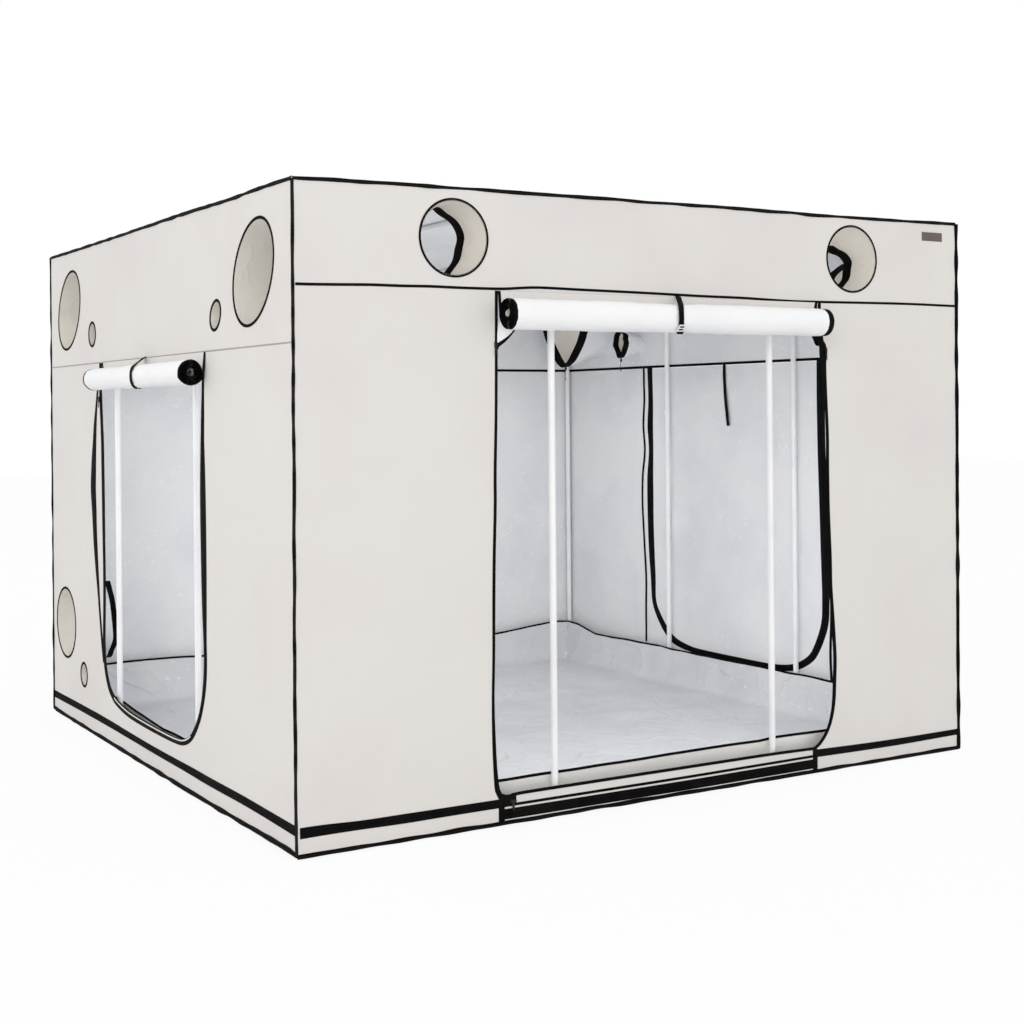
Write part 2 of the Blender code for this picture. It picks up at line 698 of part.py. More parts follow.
def build_corner_post(name, way_x, way_y, white):
    """A corner post with a three-way connector at each end, bored right through."""
    x, y = way_x * (WIDTH / 2 - POLE_INSET), way_y * (DEPTH / 2 - POLE_INSET)
    low, high = FABRIC + GAP, HEIGHT - SHEET_REACH - GAP
    shapes = []
    for level, way_z in ((RAIL_LOW, 1), (RAIL_HIGH, -1)):
        middle = Vector((x, y, level))
        shapes.append(rod(HUB_RADIUS, (x, y, level - way_z * HUB_RADIUS), (x, y, level + way_z * COLLAR)))
        shapes += branch(middle, Vector((-way_x, 0, 0)), HUB_RADIUS - GAP)
        shapes += branch(middle, Vector((0, -way_y, 0)), HUB_RADIUS - 2 * GAP)
    bm = combined(rod(TUBE_RADIUS, (x, y, low + GAP), (x, y, high - GAP)), shapes, "UNION")
    bore = rod(TUBE_BORE, (x, y, low - OVERRUN), (x, y, high + OVERRUN))
    place(name, combined(bm, [bore], "DIFFERENCE"), white, smooth=True)


def build_frame(white):
    for name, way_x, way_y in (("front_left_corner_post", -1, -1), ("front_right_corner_post", 1, -1),
                               ("back_left_corner_post", -1, 1), ("back_right_corner_post", 1, 1)):
        build_corner_post(name, way_x, way_y, white)
    low, high = RAIL_LOW + COLLAR + GAP, RAIL_HIGH - COLLAR - GAP
    for side in SIDES:
        across, outward = SIDES[side]
        build_rail(side + "_bottom_rail", side, RAIL_LOW, 1, False, white)
        build_rail(side + "_top_rail", side, RAIL_HIGH, -1, side in ("front", "back"), white)
        for label, at in (("left", -POST_SPREAD), ("right", POST_SPREAD)):
            foot = across * at + outward * (side_reach(side) - POLE_INSET)
            build_tube(side + "_" + label + "_post", foot + UP * low, foot + UP * high, white)
    reach = DEPTH / 2 - POLE_INSET - COLLAR - GAP
    for label, at in (("left", -POST_SPREAD), ("right", POST_SPREAD)):
        build_tube(label + "_ceiling_bar", (at, -reach, RAIL_HIGH), (at, reach, RAIL_HIGH), white)


def build():
    clear_scene()
    canvas = finish_material("canvas", (0.78, 0.76, 0.73), 0.55)
    lining = finish_material("lining", (0.55, 0.57, 0.61), 0.35)
    black = finish_material("black_webbing", (0.010, 0.009, 0.009), 0.75)
    metal = finish_material("black_metal", (0.02, 0.02, 0.02), 0.35, 0.8)
    white = finish_material("white_steel", (0.85, 0.85, 0.87), 0.30)
    plastic = finish_material("white_plastic", (0.88, 0.88, 0.88), 0.40)
    build_piping(black)
    build_flat_sheets(canvas, lining)
    build_front(canvas, black)
    build_side_wall("left", canvas)
    build_side_wall("right", canvas)
    for duct in front_ducts():
        build_sleeve("front", duct, canvas)
    for side in ("left", "right"):
        for duct in side_ducts():
            build_sleeve(side, duct, canvas)
    build_zip("front", FRONT_DOOR, black)
    build_zip("left", SIDE_DOOR, black)
    build_zip("right", SIDE_DOOR, black)
    build_sliders(metal)
    build_right_door(canvas)
    build_door_roll("front", FRONT_ROLL_AT, FRONT_ROLL_HALF, canvas)
    build_door_roll("left", 0, SIDE_ROLL_HALF, canvas)
    build_roll_strap("front", FRONT_STRAP_AT, FRONT_STRAP_LEAN, black)
    build_roll_strap("left", SIDE_STRAP_AT, 0, black)
    build_buckle(plastic)
    build_hanging_strap(black)
    build_tray(lining)
    build_frame(white)


build()
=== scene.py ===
# %% [markdown]
# # A walk-in grow tent
# The real tent is a frame of white steel tubes with a sewn canvas cover. Its outside is pale
# canvas, its inside a bright reflective lining, and every edge is bound in black webbing.
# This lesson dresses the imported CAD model: the tubes, connectors and zip sliders stay and get
# finer materials, and every piece of cloth is made again as cloth.

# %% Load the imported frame
import math

import bmesh
import bpy
import numpy as np
from mathutils import Matrix, Vector, geometry


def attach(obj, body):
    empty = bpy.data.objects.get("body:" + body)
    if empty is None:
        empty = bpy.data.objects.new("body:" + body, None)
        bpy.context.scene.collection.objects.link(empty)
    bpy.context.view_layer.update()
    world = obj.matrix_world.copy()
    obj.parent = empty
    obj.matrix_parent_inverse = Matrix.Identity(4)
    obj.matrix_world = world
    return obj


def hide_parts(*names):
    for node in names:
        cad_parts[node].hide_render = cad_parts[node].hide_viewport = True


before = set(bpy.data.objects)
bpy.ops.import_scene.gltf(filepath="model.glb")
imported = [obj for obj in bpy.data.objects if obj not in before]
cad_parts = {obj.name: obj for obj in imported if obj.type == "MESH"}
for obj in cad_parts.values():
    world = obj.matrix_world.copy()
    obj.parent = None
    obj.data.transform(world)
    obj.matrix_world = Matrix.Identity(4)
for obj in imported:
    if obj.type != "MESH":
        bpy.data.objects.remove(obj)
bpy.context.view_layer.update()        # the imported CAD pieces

# %% [markdown]
# ## The camera
# The picture was taken at eye height in front of the tent's left corner. A camera that looks
# straight ahead keeps all uprights vertical, and the lens shift moves the tent up in the
# picture. It is rolled by half a degree, as the photographer's was.

# %% Camera
EYE = Vector((-3.4535, -6.1412, 1.4389))
TURN = math.radians(30.8498)
ROLL = math.radians(-0.5)
FOCAL, SHIFT = 54.6911, -0.0999     # millimetres, and a share of the picture's width


def put(name, data):
    """An object of the scene, from its mesh, curve, lamp or camera."""
    made = bpy.data.objects.new(name, data)
    bpy.context.scene.collection.objects.link(made)
    return made


ahead = Vector((math.sin(TURN), math.cos(TURN), 0))
level = Vector((math.cos(TURN), -math.sin(TURN), 0))
upward = level.cross(ahead)
right = level * math.cos(ROLL) + upward * math.sin(ROLL)
above = upward * math.cos(ROLL) - level * math.sin(ROLL)
lens = bpy.data.cameras.new("studio_camera")
lens.lens, lens.shift_y, lens.clip_end = FOCAL, SHIFT, 60
camera = put("studio_camera", lens)
turn = np.eye(4)
for column, axis in enumerate((right, above, -ahead, EYE)):
    turn[:3, column] = axis
camera.matrix_world = Matrix(turn.tolist())
bpy.context.scene.camera = camera
bpy.context.scene.view_settings.view_transform = "Standard"
print("camera at", [round(v, 3) for v in EYE])

# %% [markdown]
# ## Working on one side at a time
# Each side of the tent is worked as if it lay flat on a cutting table: `across` runs to the
# right as seen from outside, `high` runs up, and `out` is the distance from the tent's middle.
# `on_side` turns these three numbers into points of the room.

# %% Side frames
SIDES = {
    "front": ((1, 0, 0), (0, 0, 1), (0, -1, 0)),
    "right": ((0, 1, 0), (0, 0, 1), (1, 0, 0)),
    "back": ((-1, 0, 0), (0, 0, 1), (0, 1, 0)),
    "left": ((0, -1, 0), (0, 0, 1), (-1, 0, 0)),
    "roof": ((1, 0, 0), (0, 1, 0), (0, 0, 1)),
    "floor": ((1, 0, 0), (0, -1, 0), (0, 0, -1)),
}
TALL = 2.2          # height over its piping
FACE = 1.496        # outer face of the canvas
CLOTH = 0.0015      # thickness of the canvas
SUNK = 0.0006       # how deep a strap's back sits in the canvas
CELL = 0.05         # spacing of the points in a large sheet


def on_side(side, across, high, out):
    """Points of the room from their place on one side of the tent."""
    a, u, o = (np.array(axis, float) for axis in SIDES[side])
    across, high, out = np.broadcast_arrays(across, high, out)
    return across[..., None] * a + high[..., None] * u + out[..., None] * o


def outward(side, count):
    """The side's outward direction, once for each of a number of points."""
    return np.tile(np.array(SIDES[side][2], float), (count, 1))


# %% [markdown]
# ## Unevenness that repeats
# Sewn cloth is never flat, but the lesson has to give the same tent each time. A few plane
# waves with seeded directions make a smooth, repeatable unevenness.

# %% Ripples and smooth lines
def ripple(a, b, seed, wave, waves=7):
    """Smooth unevenness, mostly between -1 and 1, with bumps about one wave apart."""
    rng = np.random.default_rng(seed)
    total = np.zeros(np.broadcast(a, b).shape)
    for _ in range(waves):
        turn, phase = rng.uniform(0, 2 * math.pi, 2)
        pace = 2 * math.pi / wave * rng.uniform(0.6, 1.5)
        total = total + np.sin(pace * (a * math.cos(turn) + b * math.sin(turn)) + phase)
    return total / math.sqrt(waves)


def smooth_line(points, step=0.03):
    """An even, rounded line through measured points."""
    points = np.array(points, float)
    ends = np.vstack([2 * points[0] - points[1], points, 2 * points[-1] - points[-2]])
    line = []
    for before, start, end, after in zip(ends, ends[1:], ends[2:], ends[3:]):
        count = max(1, math.ceil(np.linalg.norm(end - start) / step))
        for t in np.arange(count) / count:
            line.append(0.5 * (2 * start + (end - before) * t
                               + (2 * before - 5 * start + 4 * end - after) * t * t
                               + (3 * start - before - 3 * end + after) * t ** 3))
    return np.array(line + [points[-1]])


def normed(vectors):
    """The same directions, each one long."""
    return vectors / np.linalg.norm(vectors, axis=-1, keepdims=True)


print("ripple at the middle", round(float(ripple(0.0, 0.0, 1, 0.5)), 3))

# %% [markdown]
# ## One way to make every piece
# Each piece is a mesh written straight from points and faces. Its cloth coordinates (UV) are
# in metres, so that a weave or a row of stitches has its real size on every piece. `make_piece`
# also lets the piece ride on its CAD body.

# %% Make a piece
def make_piece(name, points, faces, materials, which=None, uv=None, body="tent", slot="canvas",
               crease=40):
    """A piece of its own. `which` gives each face's material, and edges sharper than `crease`
    degrees stay sharp."""
    mesh = bpy.data.meshes.new(name)
    mesh.from_pydata([tuple(p) for p in points], [], faces)
    for material in materials:
        mesh.materials.append(material)
    if which is not None:
        mesh.polygons.foreach_set("material_index", np.asarray(which, np.int32))
    if uv is not None:
        layer = mesh.uv_layers.new(name="cloth")
        layer.data.foreach_set("uv", np.asarray(uv, np.float32).ravel())
    bm = bmesh.new()
    bm.from_mesh(mesh)
    bmesh.ops.recalc_face_normals(bm, faces=bm.faces)
    bm.to_mesh(mesh)
    bm.free()
    mesh.shade_smooth()
    mesh.set_sharp_from_angle(angle=math.radians(crease))
    piece = put(name, mesh)
    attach(piece, body)
    return piece


# %% Carry a section along a line
def sweep(name, path, normals, section, materials, closed=False, **options):
    """Carries a closed section along a line. Each section point is (aside, outward)."""
    path, normals = np.array(path, float), np.array(normals, float)
    section = np.array(section, float)
    if section.ndim == 2:
        section = np.broadcast_to(section, (len(path), *section.shape))
    if closed:
        along = np.roll(path, -1, 0) - np.roll(path, 1, 0)
    else:
        along = np.gradient(path, axis=0)
    along = normed(along)
    aside = normed(np.cross(along, normals))
    lift = np.cross(aside, along)
    points = path[:, None] + aside[:, None] * section[..., :1] + lift[:, None] * section[..., 1:]
    rows, cols = points.shape[:2]
    steps = np.linalg.norm(np.diff(np.vstack([path, path[:1]]), axis=0), axis=1)
    length = np.concatenate([[0], np.cumsum(steps)])
    faces, uv = [], []
    for i in range(rows if closed else rows - 1):
        n = (i + 1) % rows
        for j in range(cols):
            k = (j + 1) % cols
            faces.append((i * cols + j, i * cols + k, n * cols + k, n * cols + j))
            uv += [(length[i], section[i, j, 0]), (length[i], section[i, k, 0]),
                   (length[i + 1], section[n, k, 0]), (length[i + 1], section[n, j, 0])]
    if not closed:
        for i in (0, rows - 1):
            faces.append(tuple(range(i * cols, (i + 1) * cols)))
            uv += [(length[i], section[i, j, 0]) for j in range(cols)]
    return make_piece(name, points.reshape(-1, 3), faces, materials, uv=uv, **options)


def strap_section(width, thick):
    """A flat woven strap with softly rounded edges."""
    half, edge = width / 2, min(thick, width / 4)
    return [(-half, 0), (half, 0), (half, thick * 0.55), (half - edge * 0.5, thick * 0.95),
            (0, thick), (edge * 0.5 - half, thick * 0.95), (-half, thick * 0.55)]


wall_shapes = {}


def bulge_under(side, line):
    """How far a wall bulges out under each point of a line."""
    if side not in wall_shapes:
        return np.zeros(len(line))
    shape, loops = wall_shapes[side]
    return shape(line[:, 0], line[:, 1], edge_distance(line[:, :2], loops))


def tape(name, side, line, width, thick, out=FACE, material=None, slot="black_trim"):
    """A strap laid on one side of the tent along (across, high) points, of black webbing where
    no other material is given. A third number at each point is the strap's width there."""
    line = np.array(line, float)
    widths = line[:, 2] if line.shape[1] > 2 else np.full(len(line), width)
    path = on_side(side, line[:, 0], line[:, 1], out + bulge_under(side, line))
    section = np.array([strap_section(each, thick) for each in widths])
    section[:, :2, 1] = -SUNK * math.copysign(1, thick)
    return sweep(name, path, outward(side, len(line)), section,
                 [webbing if material is None else material], slot=slot)


# %% A sheet from rows and columns of points
def cloth_grid(name, points, thick, materials, around=False, trim=None, **options):
    """A sheet with two faces. Its back lies `thick` behind its front, and `trim` marks the
    cells that take the third material on both faces."""
    points = np.array(points, float)
    rows, cols = points.shape[:2]
    if around:
        wide = np.concatenate([points[:, -1:], points, points[:, :1]], axis=1)
        cross = np.gradient(wide, axis=1)[:, 1:-1]
    else:
        cross = np.gradient(points, axis=1)
    normal = np.cross(cross, np.gradient(points, axis=0))
    normal /= np.linalg.norm(normal, axis=2, keepdims=True) + 1e-12
    both = np.concatenate([points.reshape(-1, 3), (points - normal * thick).reshape(-1, 3)])
    back = rows * cols
    closing = np.concatenate([points, points[:, :1]], axis=1) if around else points
    down = np.linalg.norm(np.diff(points, axis=0), axis=2).mean(1)
    over = np.linalg.norm(np.diff(closing, axis=1), axis=2).mean(0)
    u = np.concatenate([[0], np.cumsum(over)])
    v = np.concatenate([[0], np.cumsum(down)])
    faces, uv, which = [], [], []
    across = range(cols if around else cols - 1)
    for i in range(rows - 1):
        for j in across:
            k = (j + 1) % cols
            cell = [i * cols + j, i * cols + k, (i + 1) * cols + k, (i + 1) * cols + j]
            corner = [(u[j], v[i]), (u[j + 1], v[i]), (u[j + 1], v[i + 1]), (u[j], v[i + 1])]
            marked = trim is not None and trim[i, j]
            faces += [tuple(cell), tuple(back + c for c in reversed(cell))]
            uv += corner + corner[::-1]
            which += [2, 2] if marked else [0, 1]
    rims = [[(i * cols + j, i * cols + (j + 1) % cols) for j in across] for i in (0, rows - 1)]
    if not around:
        rims += [[(i * cols + j, (i + 1) * cols + j) for i in range(rows - 1)]
                 for j in (0, cols - 1)]
    for rim in rims:
        for a, b in rim:
            faces.append((a, b, back + b, back + a))
            one, two = [(u[spot % cols], v[spot // cols]) for spot in (a, b)]
            uv += [one, two, two, one]
            which.append(2 if trim is not None else 0)
    return make_piece(name, both, faces, materials, which=which, uv=uv, **options)


# %% A sheet of any outline
def spread(loop, cell):
    """A closed outline with its long edges cut into even steps."""
    points = []
    for start, end in zip(loop, np.roll(loop, -1, 0)):
        count = max(1, round(np.linalg.norm(end - start) / cell))
        points += [start + (end - start) * k / count for k in range(count)]
    return np.array(points)


def inside(points, loops):
    """Which points lie inside the outline and outside its holes."""
    px, py = points[:, :1], points[:, 1:]
    count = np.zeros(len(points), int)
    for loop in loops:
        (x1, y1), (x2, y2) = loop.T, np.roll(loop, -1, 0).T
        crosses = (y1 > py) != (y2 > py)
        level = np.where(y2 == y1, 1.0, y2 - y1)
        count += (crosses & (px < (x2 - x1) * (py - y1) / level + x1)).sum(1)
    return count % 2 == 1


def edge_distance(points, loops):
    """Distance of each point to the nearest outline."""
    nearest = np.full(len(points), np.inf)
    for loop in loops:
        start = loop[None]
        run = np.roll(loop, -1, 0)[None] - start
        t = ((points[:, None] - start) * run).sum(2) / ((run ** 2).sum(2) + 1e-12)
        foot = start + run * np.clip(t, 0, 1)[..., None]
        nearest = np.minimum(nearest, np.linalg.norm(points[:, None] - foot, axis=2).min(1))
    return nearest


def cut_sheet(name, side, outline, holes, out, shape, materials, cell=CELL, thick=CLOTH,
              **options):
    """A sheet cut to an outline with holes. shape() gives its unevenness at each point."""
    loops = [spread(np.array(loop, float), cell) for loop in [outline] + holes]
    low, high = loops[0].min(0), loops[0].max(0)
    counts = np.maximum(2, ((high - low) / cell).astype(int))
    net = np.stack(np.meshgrid(np.linspace(low[0], high[0], counts[0]),
                               np.linspace(low[1], high[1], counts[1])), -1).reshape(-1, 2)
    net = net[inside(net, loops)]
    net = net[edge_distance(net, loops) > cell * 0.45]
    flat, edges = np.vstack(loops + [net]), []
    first = 0
    for loop in loops:
        edges += [(first + k, first + (k + 1) % len(loop)) for k in range(len(loop))]
        first += len(loop)
    made = geometry.delaunay_2d_cdt([Vector(p) for p in flat], edges, [], 0, 1e-6)
    flat, faces = np.array([tuple(p) for p in made[0]]), np.array(made[2])
    faces = faces[inside(flat[faces].mean(1), loops)]
    lift = shape(flat[:, 0], flat[:, 1], edge_distance(flat, loops))
    front = on_side(side, flat[:, 0], flat[:, 1], out + lift)
    points = np.concatenate([front, front - outward(side, len(front)) * thick])
    count = len(flat)
    every = [tuple(f) for f in faces] + [tuple(count + f[::-1]) for f in faces]
    which = [0] * len(faces) + [1] * len(faces)
    used = {}
    for a, b, c in faces:
        for pair in ((a, b), (b, c), (c, a)):
            used[tuple(sorted(pair))] = used.get(tuple(sorted(pair)), 0) + 1
    for (a, b), times in used.items():
        if times == 1:
            every.append((a, b, count + b, count + a))
            which.append(0)
    corners = np.array([i % count for face in every for i in face])
    piece = make_piece(name, points, every, materials, which=which, uv=flat[corners], **options)
    bottom, top = flat.min(0), flat.max(0)
    cut = flat[faces]
    one, two = cut[:, 1] - cut[:, 0], cut[:, 2] - cut[:, 0]
    area = float(np.abs(one[:, 0] * two[:, 1] - one[:, 1] * two[:, 0]).sum() / 2)
    size = [float(v) for v in top - bottom]
    print(name, "cut", [round(v, 3) for v in size], "area", round(area, 3), "faces", len(every))
    return piece, size, area


# %% [markdown]
# ## Effects that several finishes share
# Weave, crumpled film, soiling, woven ribs and stitches come back on many pieces. Each is
# built once as a shader node group with named sockets. A group only puts out masks and
# heights; the shader itself stays in each material.

# %% Node helpers
def feed(tree, node, links):
    """Links or values for a node's inputs."""
    for key, value in links.items():
        if isinstance(value, bpy.types.NodeSocket):
            tree.links.new(value, node.inputs[key])
        else:
            node.inputs[key].default_value = value


def add(tree, kind, links=None, **settings):
    """A node with its settings, and values or links for its inputs."""
    made = tree.nodes.new(kind)
    for key, value in settings.items():
        setattr(made, key, value)
    feed(tree, made, links or {})
    return made


def noise(tree, place, scale, detail, **more):
    links = {"Vector": place, "Scale": scale, "Detail": detail, **more}
    return add(tree, "ShaderNodeTexNoise", links).outputs[0]


def bump(tree, height, distance, strength, **more):
    links = {"Height": height, "Distance": distance, "Strength": strength, **more}
    return add(tree, "ShaderNodeBump", links).outputs[0]


def maths(tree, operation, first, second=0.0, third=0.0, clamp=False):
    return add(tree, "ShaderNodeMath", {0: first, 1: second, 2: third}, operation=operation,
               use_clamp=clamp).outputs[0]


def new_group(name, inputs, outputs):
    """A shader node group with its named sockets."""
    tree = bpy.data.node_groups.new(name, "ShaderNodeTree")
    for label, kind, value in inputs:
        socket = tree.interface.new_socket(label, in_out="INPUT", socket_type=kind)
        if value is not None:
            socket.default_value = value
    for label in outputs:
        tree.interface.new_socket(label, in_out="OUTPUT", socket_type="NodeSocketFloat")
    given, result = [tree.nodes.new("NodeGroup" + end) for end in ("Input", "Output")]
    return tree, given.outputs, result.inputs


def use_group(tree, group, links):
    """A node that uses a shared effect, with its outputs."""
    return add(tree, "ShaderNodeGroup", links, node_tree=group).outputs


VECTOR, NUMBER = "NodeSocketVector", "NodeSocketFloat"

# %% Weave
weave, given, result = new_group(
    "plain_weave", [("Cloth", VECTOR, None), ("Threads", NUMBER, 600.0)], ["Height", "Shade"])
scaled = add(weave, "ShaderNodeVectorMath", {0: given["Cloth"], "Scale": given["Threads"]},
             operation="SCALE").outputs[0]
parts = add(weave, "ShaderNodeSeparateXYZ", {0: scaled}).outputs
over = maths(weave, "SINE", maths(weave, "MULTIPLY", parts[0], math.pi))
under = maths(weave, "SINE", maths(weave, "MULTIPLY", parts[1], math.pi))
crossing = maths(weave, "MULTIPLY", over, under)
weave.links.new(maths(weave, "MULTIPLY_ADD", crossing, 0.5, 0.5), result["Height"])
weave.links.new(noise(weave, given["Cloth"], 90.0, 3.0), result["Shade"])

# %% Crumpled film
crumple, given, result = new_group(
    "crumpled_film", [("Place", VECTOR, None), ("Spacing", NUMBER, 0.3),
                      ("Sharpness", NUMBER, 4.0)], ["Height", "Painted highlight"])
pace = maths(crumple, "DIVIDE", 1.0, given["Spacing"])
folds = noise(crumple, given["Place"], pace, 2.5, Roughness=0.45, Distortion=0.7)
ridge = maths(crumple, "ABSOLUTE", maths(crumple, "MULTIPLY_ADD", folds, 4.0, -2.0))
sharp = maths(crumple, "POWER", maths(crumple, "SUBTRACT", 1.0, ridge, clamp=True),
              given["Sharpness"])
crumple.links.new(sharp, result["Height"])
# Painted highlight: white specks on the ridges, which the material mixes into its base colour.
grain = noise(crumple, given["Place"], 60.0, 4.0)
painted_highlight = maths(crumple, "MULTIPLY", maths(crumple, "GREATER_THAN", grain, 0.66), sharp)
crumple.links.new(painted_highlight, result["Painted highlight"])

# %% Soiling and wear
wear, given, result = new_group(
    "handling_wear", [("Place", VECTOR, None), ("Patch", NUMBER, 0.5), ("Amount", NUMBER, 0.3)],
    ["Mask"])
pace = maths(wear, "DIVIDE", 1.0, given["Patch"])
clouds = noise(wear, given["Place"], pace, 4.0, Roughness=0.55)
spread_out = add(wear, "ShaderNodeMapRange",
                 {"Value": clouds, "From Min": 0.42, "From Max": 0.68}).outputs[0]
wear.links.new(maths(wear, "MULTIPLY", spread_out, given["Amount"]), result["Mask"])

# %% Woven ribs and stitches
ribs, given, result = new_group(
    "woven_ribs", [("Cloth", VECTOR, None), ("Ribs", NUMBER, 400.0)], ["Height"])
parts = add(ribs, "ShaderNodeSeparateXYZ", {0: given["Cloth"]}).outputs
lines = maths(ribs, "SINE", maths(ribs, "MULTIPLY", parts[0], given["Ribs"]))
finer = maths(ribs, "MULTIPLY", given["Ribs"], 3.0)
rows = maths(ribs, "SINE", maths(ribs, "MULTIPLY", parts[1], finer))
ribs.links.new(maths(ribs, "MULTIPLY", lines, rows), result["Height"])

stitches, given, result = new_group(
    "stitch_row", [("Cloth", VECTOR, None), ("Offset", NUMBER, 0.004), ("Stitch", NUMBER, 0.006),
                   ("Width", NUMBER, 0.0008)], ["Mask"])
parts = add(stitches, "ShaderNodeSeparateXYZ", {0: given["Cloth"]}).outputs
aside = maths(stitches, "ABSOLUTE", parts[1])
away = maths(stitches, "ABSOLUTE", maths(stitches, "SUBTRACT", aside, given["Offset"]))
on_row = maths(stitches, "LESS_THAN", away, given["Width"])
beat = maths(stitches, "FRACT", maths(stitches, "DIVIDE", parts[0], given["Stitch"]))
stitches.links.new(maths(stitches, "MULTIPLY", on_row, maths(stitches, "LESS_THAN", beat, 0.7)),
                   result["Mask"])
print("shared effects:", [group.name for group in bpy.data.node_groups])

# %% [markdown]
# ## Cloth finishes
# The cover is a coated canvas: matt, nearly white with a warm cast, with a weave that only
# shows up close and faint handling marks. The same cloth carries a bright film on its other
# side. The film is smoother, bluish and crumpled, and small white glints are painted on its
# ridges as painted highlights. One function makes both, with their own values.

# %% Cloth material
def colour(text):
    """A colour from its six-digit code, as linear values."""
    values = [int(text[k:k + 2], 16) / 255 for k in (0, 2, 4)]
    return (*(v / 12.92 if v <= 0.04045 else ((v + 0.055) / 1.055) ** 2.4 for v in values), 1)


def new_material(name):
    material = bpy.data.materials.new(name)
    material.use_nodes = True
    tree = material.node_tree
    shader = tree.nodes["Principled BSDF"]
    places = add(tree, "ShaderNodeTexCoord").outputs
    return material, tree, shader, places["Object"], places["UV"]


def mix_colours(tree, amount, first, second):
    links = {0: amount, 6: first, 7: second}
    return add(tree, "ShaderNodeMix", links, data_type="RGBA").outputs[2]


def cloth_material(name, main, other, roughness, patch, threads, weave_depth, spacing,
                   crease_depth, sharpness, painted_highlight=None):
    material, tree, shader, place, cloth = new_material(name)
    marks = use_group(tree, wear, {"Place": place, "Patch": patch, "Amount": 1.0})[0]
    threads_made = use_group(tree, weave, {"Cloth": cloth, "Threads": threads})
    folds = use_group(tree, crumple, {"Place": place, "Spacing": spacing, "Sharpness": sharpness})
    base = mix_colours(tree, marks, colour(main), colour(other))
    slub = maths(tree, "MULTIPLY", threads_made["Shade"], 0.10)
    base = mix_colours(tree, slub, base, colour(other))
    # Painted highlights: the film's ridges are mixed towards the glint colour in the base colour.
    if painted_highlight:
        base = mix_colours(tree, folds["Painted highlight"], base, colour(painted_highlight))
    creased = bump(tree, folds["Height"], crease_depth, 1.0)
    feed(tree, shader, {
        "Base Color": base, "Roughness": maths(tree, "MULTIPLY_ADD", marks, 0.08, roughness),
        "Normal": bump(tree, threads_made["Height"], weave_depth, 0.35, Normal=creased)})
    return material


# The values follow the function's arguments, and so they do in the next two cells.
CLOTHS = {
    "canvas": ("E4E0DC", "E0DBD8", 0.66, 0.55, 620.0, 0.00025, 0.85, 0.0012, 5.0),
    "lining": ("F1F1F2", "E7E8EC", 0.42, 0.35, 900.0, 0.00010, 0.30, 0.0016, 2.4, "FFFFFF"),
    # A brighter copy of the lining film for the rolled doors and the corner flap. It is the same
    # film as the lining, so its extra brightness is painted light.
    "roll_film_painted_lit": ("F9F9FA", "F2F3F5", 0.36, 0.30, 900.0, 0.00010, 0.16, 0.0006, 6.0),
    "sleeve_cloth": ("EAE5DC", "DFDAD2", 0.60, 0.22, 620.0, 0.00025, 0.16, 0.0016, 4.0),
    "tray_film": ("DDDEE0", "D2D4D8", 0.44, 0.40, 900.0, 0.00010, 0.22, 0.0035, 6.0, "FFFFFF"),
    # The tray's back is painted brighter than the canvas: painted light on its outer face, which
    # lies in shade.
    "tray_back_painted_lit": ("F6F5F0", "EFEDE8", 0.60, 0.40, 620.0, 0.00025, 0.50, 0.0012, 4.0)}
canvas, lining, roll_film_painted_lit, sleeve_cloth, tray_film, tray_back_painted_lit = [
    cloth_material(name, *values) for name, values in CLOTHS.items()]
print("cloth finishes:", list(CLOTHS))

# %% [markdown]
# ## Trim, tube paint, metal and plastic
# Webbing and piping are black, matt and ribbed, with rows of stitches along both edges. The
# zip has a smooth tape with a coil of fine teeth. Tubes are powder-coated white steel with a
# slight orange peel, and grey rubbing where connectors slide over them.

# %% Trim material
def strap_material(name, main, worn, roughness, rib_pace, row, stitch_colour):
    material, tree, shader, place, cloth = new_material(name)
    marks = use_group(tree, wear, {"Place": place, "Patch": 0.12, "Amount": 0.8})[0]
    rows = use_group(tree, stitches, {"Cloth": cloth, "Offset": row, "Stitch": 0.006,
                                      "Width": 0.0007})[0]
    woven = use_group(tree, ribs, {"Cloth": cloth, "Ribs": rib_pace})[0]
    base = mix_colours(tree, marks, colour(main), colour(worn))
    high = maths(tree, "ADD", woven, maths(tree, "MULTIPLY", rows, 1.5))
    feed(tree, shader, {
        "Base Color": mix_colours(tree, rows, base, colour(stitch_colour)),
        "Roughness": roughness, "Specular IOR Level": 0.06,
        "Normal": bump(tree, high, 0.0004, 0.6)})
    return material


STRAPS = {
    "black_webbing": ("0A0909", "191616", 0.78, 2600.0, 0.0085, "1C1A1A"),
    "black_binding": ("0A0909", "171515", 0.74, 1800.0, 0.0050, "2A2626"),
    "zip_tape": ("090808", "151313", 0.66, 5200.0, 0.0090, "171515"),
    "patch_cloth": ("6F635F", "7E7370", 0.70, 3800.0, 0.0220, "B9B1AC"),
    "seam_thread": ("C9C5C1", "BBB7B3", 0.70, 3000.0, 0.0010, "A9A5A2"),
    "cord_black": ("0C0B0B", "1C1A1A", 0.80, 4200.0, 0.0500, "141212")}
webbing, binding, zip_tape, patch_cloth, thread_grey, cord_black = [
    strap_material(name, *values) for name, values in STRAPS.items()]
print("trim finishes:", list(STRAPS))


# %% Paint, metal and plastic
def hard_material(name, main, worn, roughness, metallic, patch, amount, grain_size):
    material, tree, shader, place, _ = new_material(name)
    marks = use_group(tree, wear, {"Place": place, "Patch": patch, "Amount": amount})[0]
    feed(tree, shader, {
        "Base Color": mix_colours(tree, marks, colour(main), colour(worn)),
        "Roughness": maths(tree, "MULTIPLY_ADD", marks, 0.25, roughness), "Metallic": metallic,
        "Normal": bump(tree, noise(tree, place, 1 / grain_size, 3.0), 0.0001, 0.5)})
    return material


